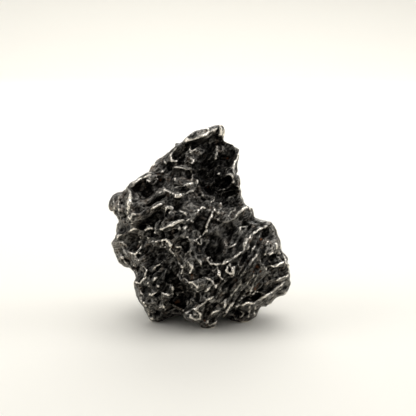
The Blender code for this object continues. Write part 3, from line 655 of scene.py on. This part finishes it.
def smooth_slabs(skin, side, normals):
    """From 0 to 1 where the front is a smooth slab with hardly any cells on it."""
    places = side.picture(skin.points) + soft_noise(skin.points, 1.4 * MM, MARK_SEED, 2) * 0.4
    slab = np.zeros(skin.count)
    for _, path, half_width, _, kind in HOLLOWS:
        if kind == "slab":
            near, distance, _ = across_path(places, path, half_width * SLAB_REACH)
            slab[near] = np.maximum(slab[near], 1.0 - smooth_step(distance / half_width, 0.7, SLAB_REACH))
    return slab * side.seen(skin.points, normals)


def hollows(skin, sides, normals):
    """The hollows and slabs, as rise along the normals. A slab's edge is steep and a bowl's is gentle."""
    total = np.zeros(skin.count)
    swirl = soft_noise(skin.points, 1.4 * MM, MARK_SEED, 2) * 0.55
    for side in sides:
        places = side.picture(skin.points) + swirl
        lift = np.zeros(skin.count)
        for _, path, half_width, rise, kind in HOLLOWS:
            reach = half_width * MARK_REACH
            near, distance, _ = across_path(places, path, reach)
            full_from = 0.4 if kind == "slab" else 0.8
            lift[near] += rise * MM * smooth_step(1.0 - distance / reach, 0.0, full_from)
        total += lift * side.seen(skin.points, normals)
    return total * above_floor(skin.points) * HOLLOW_SHARE


def crests(skin, sides, normals, flanks, share):
    """The crests, as rise along the normals, and how brightly each is worn, with painted highlights along its
    edges and painted light on its flanks. The flanks run out to so many of a crest's half widths, and share is
    how much of its rise it gets."""
    total, wear_and_sheen_of_all = np.zeros(skin.count), np.zeros(skin.count)
    swirl = soft_noise(skin.points, 0.7 * MM, CREST_SEED, 2) * 0.16
    uneven = np.clip(1.0 + 0.5 * soft_noise(skin.points, 1.3 * MM, UNEVEN_SEED), 0.4, 1.5)
    for side in sides:
        places = side.picture(skin.points) + swirl
        # how brightly each place is worn, with the crests' painted highlights and painted flank light
        lift, worn = np.zeros(skin.count), np.zeros(skin.count)
        for _, path, half_width, rise, wear in CRESTS:
            near, distance, along = across_path(places, path, half_width * flanks)
            slim = CREST_ENDS + (1.0 - CREST_ENDS) * np.sqrt(np.sin(math.pi * np.clip(along, 0.03, 0.97)))
            across = distance / half_width / slim
            slope = np.clip(1.0 - across / flanks, 0.0, 1.0) ** FLANK_POWER
            lift[near] = np.maximum(lift[near], rise * MM * slim * slope)
            # painted light on the crest's flanks
            painted_flank_light = 0.22 * (1.0 - smooth_step(across, 0.5, 2.4))
            edge = np.maximum(1.0 - smooth_step(across, 0.3, 0.95), painted_flank_light)
            middle = 1.0 - smooth_step(across, 0.15, 0.6)
            # the middle of a wide crest is duller, which leaves painted highlights along its two edges
            duller = 0.45 * smooth_step(half_width, EDGED_FROM, EDGED_FULL) * middle
            worn[near] = np.maximum(worn[near], wear * slim * edge * (1.0 - duller))
        seen = side.seen(skin.points, normals) * above_floor(skin.points)
        total += lift * seen * uneven * share * (1.0 if side is sides[0] else HIDDEN_SHARE)
        wear_and_sheen_of_all = np.maximum(wear_and_sheen_of_all, worn * seen)
    return total, wear_and_sheen_of_all


def wandered(points, size, reach, seed):
    """Points shifted by a slow random swirl, so that cells in them come out bent and stretched."""
    return points + soft_noise(points, size, seed, 3) * reach


def ribbed(skin, sight):
    """The parallel ribs of the lower right face, which run down towards the bottom beak: how high each place
    is on its rib, and how far it lies inside the ribbed face."""
    places = sight.picture(skin.points)
    start, end = np.array(RIBS_FROM), np.array(RIBS_TO)
    way = (end - start) / np.linalg.norm(end - start)
    along = (places - start) @ way
    aside = (places - start) @ np.array((-way[1], way[0]))
    bend = soft_noise(skin.points, 3.0 * MM, RIB_SEED) * 0.5
    bend = bend + soft_noise(skin.points, 1.2 * MM, RIB_SEED + 1) * 0.2
    wave = np.abs(((aside + bend) / RIB_PITCH) % 1.0 - 0.5) * 2.0
    inside = smooth_step(along, -1.0, 1.5) * (1.0 - smooth_step(along, RIBS_LONG - 1.5, RIBS_LONG + 1.0))
    inside *= 1.0 - smooth_step(np.abs(aside), RIBS_WIDE / 2 - 1.0, RIBS_WIDE / 2 + 1.2)
    return wave, inside


def crumple(skin, scales, seed):
    """Breaks the surface into hollowed and tilted cells of the given sizes, parted by grooves in some places
    and by crests in others."""
    points = skin.points
    height = np.zeros(skin.count)
    grooved = smooth_step(soft_noise(points, 6.0 * MM, seed + 6), -0.15, 0.25)
    for i, (size, depth, tilted, longer) in enumerate(scales):
        bent = wandered(drawn_out(points, longer), size * 1.7, size * 0.6, seed + 10 * i)
        bowl, tilt, gap = plates(bent, size, seed + 10 * i + 1)
        uneven = np.clip(0.8 + 0.9 * soft_noise(points, size * 2.6, seed + 10 * i + 2), 0.15, 1.6)
        hollowed = (bowl - CELL_LEVEL) * (1.0 - 0.7 * grooved)
        groove = np.exp(-gap / GROOVE_WIDTH) * grooved * GROOVE_DEPTH
        leant = tilted * (1.0 + 0.6 * grooved) * np.clip(tilt, -TILT_LIMIT, TILT_LIMIT)
        height += depth * uneven * (hollowed - groove + leant)
    return height * above_floor(points)


def winding_ridges(skin, seed):
    """Low, sharp ridges that wind about among the fine cells."""
    bent = wandered(drawn_out(skin.points, RIDGE_LONGER), RIDGE_SIZE * 1.3, RIDGE_SIZE * 0.5, seed)
    ridge = (1.0 - np.minimum(np.abs(soft_noise(bent, RIDGE_SIZE, seed + 1)) * 2.4, 1.0)) ** 1.6
    return RIDGE_HEIGHT * (ridge - 0.6) * above_floor(skin.points)


def raise_skin(skin, rise, normals, crest_lean):
    """Moves the surface along its normals, with what rises most leaning over sideways."""
    aside = soft_noise(skin.points, 2.5 * MM, LEAN_SEED, 3)
    aside -= (aside * normals).sum(1)[:, None] * normals
    leant = aside * np.maximum(rise, 0.0)[:, None] * crest_lean
    write_points(skin.stone, skin.points + normals * rise[:, None] + leant)


def mark_wear_and_painted_light(stone, settings, sides):
    """Keeps on the skin how worn each place is, with the crests' painted highlights and flank light; how sunken
    it is and how far it stands out, which the material paints as shade and light; and the painted light and shade
    of the front's patches.
    """
    skin = Skin(stone)
    normals = skin.normals(1)
    heights = [skin.relief(skin.normals(around), steps) for around, steps in ((1, 3), (4, 14), (16, 80))]
    fine, middle, broad = [height / height.std() for height in heights]
    _, near_crest = crests(skin, sides, skin.normals(8), WEAR_AND_SHEEN_FLANKS, COARSE_SHARE)
    broken = soft_noise(skin.points, 0.6 * MM, WEAR_SEED) + soft_noise(skin.points, 2.6 * MM, WEAR_SEED + 1)
    proud = 0.5 * fine + 0.7 * middle + 0.3 * broad
    wear = smooth_step(proud + 0.5 * broken, 2.3, 3.8) * settings.wear
    sharp = 0.3 + 0.7 * smooth_step(0.5 * fine + 0.5 * middle + 0.4 * broken, -0.5, 1.3)
    faint = 0.5 * smooth_step(0.8 * fine + 0.5 * middle + 0.3 * broken, 1.3, 3.0)
    tone = lit_and_shaded_tone(skin, sides[0], normals)
    # the wear and its painted light grow brighter and duller with the painted light and shade of the patches
    worn_and_lit = np.clip(1.0 + 0.4 * tone, 0.4, 1.1)
    store(stone, "wear", np.clip((np.maximum(wear, faint) + near_crest * sharp) * worn_and_lit, 0.0, 1.0))
    # what is sunken, which the material paints with near-black shade and where it puts rust
    store(stone, "recess", smooth_step(-(0.8 * fine + 0.35 * middle + 0.1 * broad), 0.1, 1.9))
    # how far each place stands out: the material paints shade where it lies low and light where it stands out,
    # and puts flecks of bare metal on it
    store(stone, "proud", smooth_step(0.3 * fine + 0.5 * middle + 0.5 * broad, -1.2, 1.6))
    store(stone, "patch", tone)


def store(stone, name, values):
    """Keeps a number for each point of the stone under the given name."""
    attribute = stone.data.attributes.new(name, "FLOAT", "POINT")
    attribute.data.foreach_set("value", values.astype(np.float32))


def lit_and_shaded_tone(skin, sight, normals):
    """How much painted shade (darker) and painted light (lighter) the patches read from the front put on the
    stain.
    """
    places = sight.picture(skin.points) + soft_noise(skin.points, 2.0 * MM, LIT_AND_SHADED_SEED, 2) * 0.8
    tone = np.zeros(skin.count)
    for _, place, radius, amount in LIT_AND_SHADED_PATCHES:
        distance = np.linalg.norm(places - np.array(place), axis=1)
        tone += amount * (1.0 - smooth_step(distance / radius, 0.4, 1.2))
    return tone * sight.seen(skin.points, normals)


def sides_of(sight):
    """The side that the picture shows, and then those that it doesn't."""
    sides = [sight]
    for turn, mirrored, spin in HIDDEN_SIDES:
        sides.append(HiddenSide(sight, math.radians(turn), mirrored, math.radians(spin)))
    return sides


def lay_coarse_relief(stone, settings, sides):
    """Coarse cells, with the hollows and crests over them."""
    skin, sight = Skin(stone), sides[0]
    normals, broad_normals = skin.normals(4), skin.normals(8)
    thick = thickness(skin, broad_normals, SOLID_DEPTH)
    crest_rise, crest_near = crests(skin, sides, broad_normals, COARSE_FLANKS, COARSE_SHARE)
    inside = inside_outline(skin, sight)
    solid = (thick / SOLID_DEPTH) ** 1.5
    rise = crumple(skin, COARSE_CELLS, COARSE_SEED) * (0.2 + 0.8 * solid) * (1.0 - 0.5 * crest_near)
    dip = COARSE_DIP * (0.65 + 0.35 * sight.seen(skin.points, broad_normals))
    slabs = SLAB_CALM * smooth_slabs(skin, sight, broad_normals)
    calm = np.maximum(slabs, RIBS_COARSE_CALM * ribbed(skin, sight)[1])
    rise = pressed(rise * (1.0 - calm), COARSE_BULGE, dip) * faded(OUTLINE_CELLS, inside)
    marks = hollows(skin, sides, broad_normals) + crest_rise
    rise += marks * (0.5 + 0.5 * solid) * faded(OUTLINE_MARKS, inside)
    raise_skin(skin, held_back(rise, thick, SOLID_DEPTH), normals, settings.crest_lean)


def lay_fine_relief(stone, sides):
    """Fine cells and winding ridges, with the ribs and the crests' sharp tops over them."""
    skin, sight = Skin(stone), sides[0]
    normals, broad_normals = skin.normals(3), skin.normals(8)
    ribs, on_ribs = ribbed(skin, sight)
    crest_rise, crest_near = crests(skin, sides, broad_normals, FINE_FLANKS, FINE_SHARE)
    thick = thickness(skin, normals, THIN_DEPTH)
    rise = crumple(skin, FINE_CELLS, FINE_SEED) + winding_ridges(skin, RIDGE_SEED)
    rise *= (1.0 - 0.7 * crest_near) * (0.3 + 0.7 * thick / THIN_DEPTH)
    inside = inside_outline(skin, sight)
    calm = np.maximum(SLAB_CALM * smooth_slabs(skin, sight, broad_normals), RIBS_FINE_CALM * on_ribs)
    rise = pressed(rise * (1.0 - calm), FINE_BULGE, FINE_DIP) * faded(OUTLINE_CELLS, inside)
    marks = (ribs - 0.5) * on_ribs * RIB_RISE * sight.seen(skin.points, normals) + crest_rise
    rise += marks * faded(OUTLINE_MARKS, inside)
    raise_skin(skin, held_back(rise, thick, THIN_DEPTH), normals, 0.0)


def keep_in_box(stone):
    """Wears off the tips that reach too far past the plain solid's box or below the floor."""
    low, high = np.array(CAD_BOX)
    points = np.clip(read_points(stone), low - BOX_MARGIN, high + BOX_MARGIN)
    points[:, 2] = np.maximum(points[:, 2], 0.0)
    write_points(stone, points)


def shape_stone(settings, sight):
    sides = sides_of(sight)
    stone = copy_of_solid()
    even_skin(stone, settings.first_skin)
    soften_facets(stone, 5)
    lay_coarse_relief(stone, settings, sides)
    even_skin(stone, settings.second_skin)
    lay_fine_relief(stone, sides)
    even_skin(stone, settings.second_skin)
    even_skin(stone, None, settings.face_limit)
    leave_out_crumbs(stone)
    keep_in_box(stone)
    mark_wear_and_painted_light(stone, settings, sides)
    stone.data.shade_smooth()
    stone.data.set_sharp_from_angle(angle=SHARP_EDGE)
    return stone


class NodeSheet:
    """Adds nodes to a material and joins them, in few words."""

    def __init__(self, name):
        self.material = bpy.data.materials.new(name)
        self.material.use_nodes = True
        self.nodes = self.material.node_tree.nodes
        self.links = self.material.node_tree.links
        self.shader = self.nodes["Principled BSDF"]

    def add(self, kind, inputs=None, **settings):
        node = self.nodes.new(kind)
        for key, value in settings.items():
            setattr(node, key, value)
        for key, value in (inputs or {}).items():
            self.put(node.inputs[key], value)
        return node

    def put(self, socket, value):
        if isinstance(value, bpy.types.NodeSocket):
            self.links.new(value, socket)
        else:
            socket.default_value = value

    def attribute(self, name):
        return self.add("ShaderNodeAttribute", attribute_name=name).outputs["Fac"]

    def sum(self, kind, a, b):
        return self.add("ShaderNodeMath", {0: a, 1: b}, operation=kind).outputs[0]

    def spread(self, value, low, high, to_low=0.0, to_high=1.0):
        inputs = {"Value": value, "From Min": low, "From Max": high, "To Min": to_low, "To Max": to_high}
        return self.add("ShaderNodeMapRange", inputs, interpolation_type="SMOOTHSTEP").outputs["Result"]

    def mix(self, share, a, b):
        node = self.add("ShaderNodeMix", data_type="RGBA")
        self.put(node.inputs["Factor"], share)
        self.put(node.inputs["A"], a)
        self.put(node.inputs["B"], b)
        return node.outputs["Result"]

    def noise(self, place, scale, detail=3.0, rough=0.6):
        inputs = {"Vector": place, "Scale": scale, "Detail": detail, "Roughness": rough}
        return self.add("ShaderNodeTexNoise", inputs).outputs["Fac"]


def iron_material(settings):
    """Near-black stained iron, with crests worn to bare metal and a little rust in its hollows, painted shade in
    what is sunken and painted light and shade in patches.
    """
    sheet = NodeSheet("pitted iron")
    place = sheet.add("ShaderNodeTexCoord").outputs["Object"]
    turned = {"Vector": place, "Rotation": (0.0, CREASE_TURN, 0.0), "Scale": (CREASE_LONGER, 1.0, 1.0)}
    along_grain = sheet.add("ShaderNodeMapping", turned, vector_type="TEXTURE").outputs["Vector"]
    wear, recess, proud = sheet.attribute("wear"), sheet.attribute("recess"), sheet.attribute("proud")
    clouds = sheet.noise(place, CLOUDS)
    grain = sheet.noise(place, GRAINS, 4.0, 0.65)
    blotches = sheet.noise(place, BLOTCHES, 3.0, 0.55)
    creases = {"Vector": along_grain, "Scale": CREASES, "Detail": 3.0, "Roughness": 0.6}
    creases.update({"Offset": 1.0, "Gain": 1.6})
    creases = sheet.add("ShaderNodeTexNoise", creases, noise_type="RIDGED_MULTIFRACTAL").outputs["Fac"]

    # the stain: clouds of two greys with brown blotches and streaks, made lighter and darker by the painted light
    # and shade of the patches, painted darker where the skin lies low and lighter where it stands out, and given
    # near-black painted shade where it is sunken
    stain = sheet.mix(sheet.spread(clouds, 0.35, 0.65), (*settings.stain, 1.0), (*settings.grey, 1.0))
    stain = sheet.mix(sheet.spread(blotches, 0.5, 0.75, 0.0, 0.8), stain, (*settings.brown, 1.0))
    streaks = sheet.spread(creases, 0.6, 1.5, 0.35, 1.7)
    # painted light and shade from the patches
    patch = sheet.spread(sheet.attribute("patch"), -1.0, 1.0, 0.25, 1.9)
    strength = sheet.sum("MULTIPLY", streaks, patch)
    # painted shade where the skin lies low and painted light where it stands out
    strength = sheet.sum("MULTIPLY", strength, sheet.spread(proud, 0.0, 1.0, 0.7, 1.25))
    # near-black painted shade in what is sunken
    stain = sheet.mix(sheet.spread(recess, 0.1, 0.9, 0.0, 0.95), stain, (*settings.shade, 1.0))
    stain = sheet.add("ShaderNodeVectorMath", {0: stain, "Scale": strength}, operation="SCALE").outputs[0]

    # rust in some of the hollows
    spots = sheet.spread(sheet.noise(place, RUST_SPOTS, 5.0), 0.62, 0.72)
    rust = sheet.sum("MULTIPLY", spots, sheet.spread(recess, 0.1, 0.7))
    stain = sheet.mix(sheet.sum("MULTIPLY", rust, settings.rust_share), stain, (*settings.rust, 1.0))

    # bare metal on worn crests, with their painted highlights and flank light, and as flecks on the finest
    # creases that also stand in for glints
    flecks = sheet.sum("MULTIPLY", sheet.spread(creases, *FLECKS), sheet.spread(proud, 0.1, 0.9, 0.1, 1.0))
    flecks = sheet.sum("MULTIPLY", flecks, sheet.spread(blotches, 0.35, 0.6, 0.25, 1.0))
    worn_and_lit = sheet.spread(sheet.sum("ADD", wear, sheet.sum("MULTIPLY", grain, 0.3)), 0.3, 0.95)
    worn_and_lit = sheet.sum("MAXIMUM", worn_and_lit, flecks)
    sheet.put(sheet.shader.inputs["Base Color"], sheet.mix(worn_and_lit, stain, (*settings.bare, 1.0)))
    rough = sheet.spread(grain, 0.3, 0.7, settings.stain_roughness - 0.1, settings.stain_roughness + 0.12)
    rough = sheet.add("ShaderNodeMix", {"Factor": worn_and_lit, "A": rough, "B": settings.bare_roughness})
    sheet.put(sheet.shader.inputs["Roughness"], rough.outputs["Result"])
    sheet.shader.inputs["Metallic"].default_value = 1.0

    height = sheet.sum("ADD", creases, sheet.sum("MULTIPLY", grain, 0.6))
    bump = {"Height": height, "Strength": BUMP_STRENGTH, "Distance": BUMP_HEIGHT}
    sheet.put(sheet.shader.inputs["Normal"], sheet.add("ShaderNodeBump", bump).outputs["Normal"])
    return sheet.material


def floor_material(studio):
    sheet = NodeSheet("pale floor")
    sheet.shader.inputs["Base Color"].default_value = (*studio.floor, 1.0)
    sheet.shader.inputs["Roughness"].default_value = 0.7
    sheet.shader.inputs["Specular IOR Level"].default_value = 0.2
    return sheet.material


def make_floor(studio):
    """A level floor that curves up behind the stone into an upright backdrop."""
    bend_start = FLOOR_BACK - FLOOR_BEND
    profile = [(-FLOOR_FRONT, 0.0), (bend_start, 0.0)]
    for i in range(1, FLOOR_BEND_STEPS + 1):
        turn = math.radians(90.0 * i / FLOOR_BEND_STEPS)
        profile.append((bend_start + FLOOR_BEND * math.sin(turn), FLOOR_BEND - FLOOR_BEND * math.cos(turn)))
    profile.append((FLOOR_BACK, FLOOR_HEIGHT))
    shape = bmesh.new()
    rows = [[shape.verts.new((x, y, z)) for x in (-FLOOR_HALF_WIDTH, FLOOR_HALF_WIDTH)] for y, z in profile]
    for a, b in zip(rows[:-1], rows[1:]):
        shape.faces.new((a[0], a[1], b[1], b[0]))
    mesh = bpy.data.meshes.new("floor")
    shape.to_mesh(mesh)
    shape.free()
    mesh.shade_smooth()
    floor = bpy.data.objects.new("floor", mesh)
    bpy.context.scene.collection.objects.link(floor)
    mesh.materials.append(floor_material(studio))
    return floor


def add_light(name, place, aim, size, power):
    light = bpy.data.lights.new(name, "AREA")
    light.shape = "RECTANGLE"
    light.size, light.size_y = size
    light.energy = power
    holder = bpy.data.objects.new(name, light)
    holder.location = place
    holder.rotation_euler = (Vector(aim) - Vector(place)).to_track_quat("-Z", "Y").to_euler()
    bpy.context.scene.collection.objects.link(holder)


def add_camera(studio, sight):
    camera = bpy.data.cameras.new("camera")
    camera.lens, camera.sensor_width = studio.lens, 36.0
    camera.clip_start, camera.clip_end = 0.01, 20.0
    holder = bpy.data.objects.new("camera", camera)
    holder.location = sight.eye
    holder.rotation_euler = (math.pi / 2 - studio.elevation, 0.0, 0.0)
    bpy.context.scene.collection.objects.link(holder)
    bpy.context.scene.camera = holder


def light_room(studio):
    world = bpy.data.worlds.new("room")
    world.use_nodes = True
    sky = world.node_tree.nodes["Background"]
    sky.inputs["Color"].default_value = (1.0, 1.0, 1.0, 1.0)
    sky.inputs["Strength"].default_value = studio.room
    bpy.context.scene.world = world
    for name, setting, place, aim, size in LIGHTS:
        add_light(name, place, aim, size, getattr(studio, setting))


def colour(name, description, default):
    return FloatVectorProperty(name=name, description=description, default=default, subtype="COLOR", size=3)


def power(name, description, default):
    return FloatProperty(name=name, description=description, default=default, unit="POWER")


class StoneSettings(bpy.types.PropertyGroup):
    """Sizes and colours of the stone."""

    first_skin: FloatProperty(
        name="First skin", description="Face size while the hollows are made",
        default=0.26 * MM, unit="LENGTH",
    )
    second_skin: FloatProperty(
        name="Second skin", description="Face size while the crests are made",
        default=0.135 * MM, unit="LENGTH",
    )
    face_limit: IntProperty(name="Faces", description="Triangles of the finished stone", default=196000)
    crest_lean: FloatProperty(
        name="Crest lean", description="How far crests lean over, in their own heights",
        default=0.35,
    )
    wear: FloatProperty(
        name="Wear", description="How bright the worn crests are",
        default=0.9, subtype="FACTOR",
    )
    stain: colour("Stain", "Colour of the stained iron", (0.033, 0.0315, 0.0285))
    grey: colour("Grey", "Colour of the cleaner iron", (0.077, 0.073, 0.066))
    brown: colour("Brown", "Colour of the warm stains", (0.065, 0.048, 0.035))
    # the colour of the painted shade in the deepest hollows
    shade: colour("Shade", "Colour in the deepest hollows", (0.004, 0.0035, 0.003))
    rust: colour("Rust", "Colour of the rust spots", (0.17, 0.065, 0.028))
    rust_share: FloatProperty(
        name="Rust share", description="How strong the rust spots are",
        default=0.6, subtype="FACTOR",
    )
    bare: colour("Bare metal", "Colour of the worn crests", (0.87, 0.815, 0.72))
    stain_roughness: FloatProperty(
        name="Stain roughness", description="Roughness of the stained iron",
        default=0.36, subtype="FACTOR",
    )
    bare_roughness: FloatProperty(
        name="Bare roughness", description="Roughness of the worn crests",
        default=0.24, subtype="FACTOR",
    )


class StudioSettings(bpy.types.PropertyGroup):
    """Sizes and strengths of the camera, floor and lights."""

    lens: FloatProperty(name="Lens", description="Focal length in millimetres", default=85.0)
    distance: FloatProperty(
        name="Distance", description="From the camera to the middle of the stone",
        default=196.0 * MM, unit="LENGTH",
    )
    elevation: FloatProperty(
        name="Elevation", description="How far the camera looks down",
        default=math.radians(12.0), unit="ROTATION",
    )
    floor: colour("Floor", "Colour of the floor", (0.87, 0.845, 0.775))
    room: FloatProperty(name="Room", description="Strength of the light from all round", default=0.29)
    overhead: power("Overhead", "Power of the wide overhead light", 1.36)
    top: power("Top", "Power of the small light above", 0.24)
    back: power("Back", "Power of the high light behind", 1.85)
    low_back: power("Low back", "Power of the low light behind", 0.375)
    left: power("Left", "Power of the left light", 1.39)
    right: power("Right", "Power of the right light", 1.54)
    behind: power("Behind", "Power of the light on the backdrop", 2.0)


class MakeStone(bpy.types.Operator):
    """Shapes the pitted stone over the plain solid and gives it its iron"""

    bl_idname = "meteorite.make_stone"
    bl_label = "Make the stone"

    def execute(self, context):
        settings = context.scene.meteorite_stone
        stone = shape_stone(settings, Sight(context.scene.meteorite_studio))
        stone.data.materials.clear()
        stone.data.materials.append(iron_material(settings))
        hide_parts("meteorite")
        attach(stone, "root")
        return {"FINISHED"}


class MakeStage(bpy.types.Operator):
    """Sets the floor, the lights and the camera"""

    bl_idname = "meteorite.make_stage"
    bl_label = "Make the stage"

    def execute(self, context):
        studio = context.scene.meteorite_studio
        make_floor(studio)
        light_room(studio)
        add_camera(studio, Sight(studio))
        context.scene.view_settings.view_transform = "Standard"
        return {"FINISHED"}


class MeteoritePanel(bpy.types.Panel):
    """The stone's and the studio's settings, with a button for each"""

    bl_idname = "VIEW3D_PT_meteorite"
    bl_label = "Meteorite"
    bl_space_type = "VIEW_3D"
    bl_region_type = "UI"
    bl_category = "Meteorite"

    def draw(self, context):
        for settings, operator in (
            (context.scene.meteorite_stone, MakeStone),
            (context.scene.meteorite_studio, MakeStage),
        ):
            box = self.layout.box()
            for name in settings.__annotations__:
                box.prop(settings, name)
            box.operator(operator.bl_idname)


CLASSES = (StoneSettings, StudioSettings, MakeStone, MakeStage, MeteoritePanel)


def register():
    for each in CLASSES:
        bpy.utils.register_class(each)
    bpy.types.Scene.meteorite_stone = PointerProperty(type=StoneSettings)
    bpy.types.Scene.meteorite_studio = PointerProperty(type=StudioSettings)


def unregister():
    del bpy.types.Scene.meteorite_studio
    del bpy.types.Scene.meteorite_stone
    for each in reversed(CLASSES):
        bpy.utils.unregister_class(each)


def main():
    register()
    bpy.ops.meteorite.make_stone()
    bpy.ops.meteorite.make_stage()


if __name__ == "__main__":
    main()
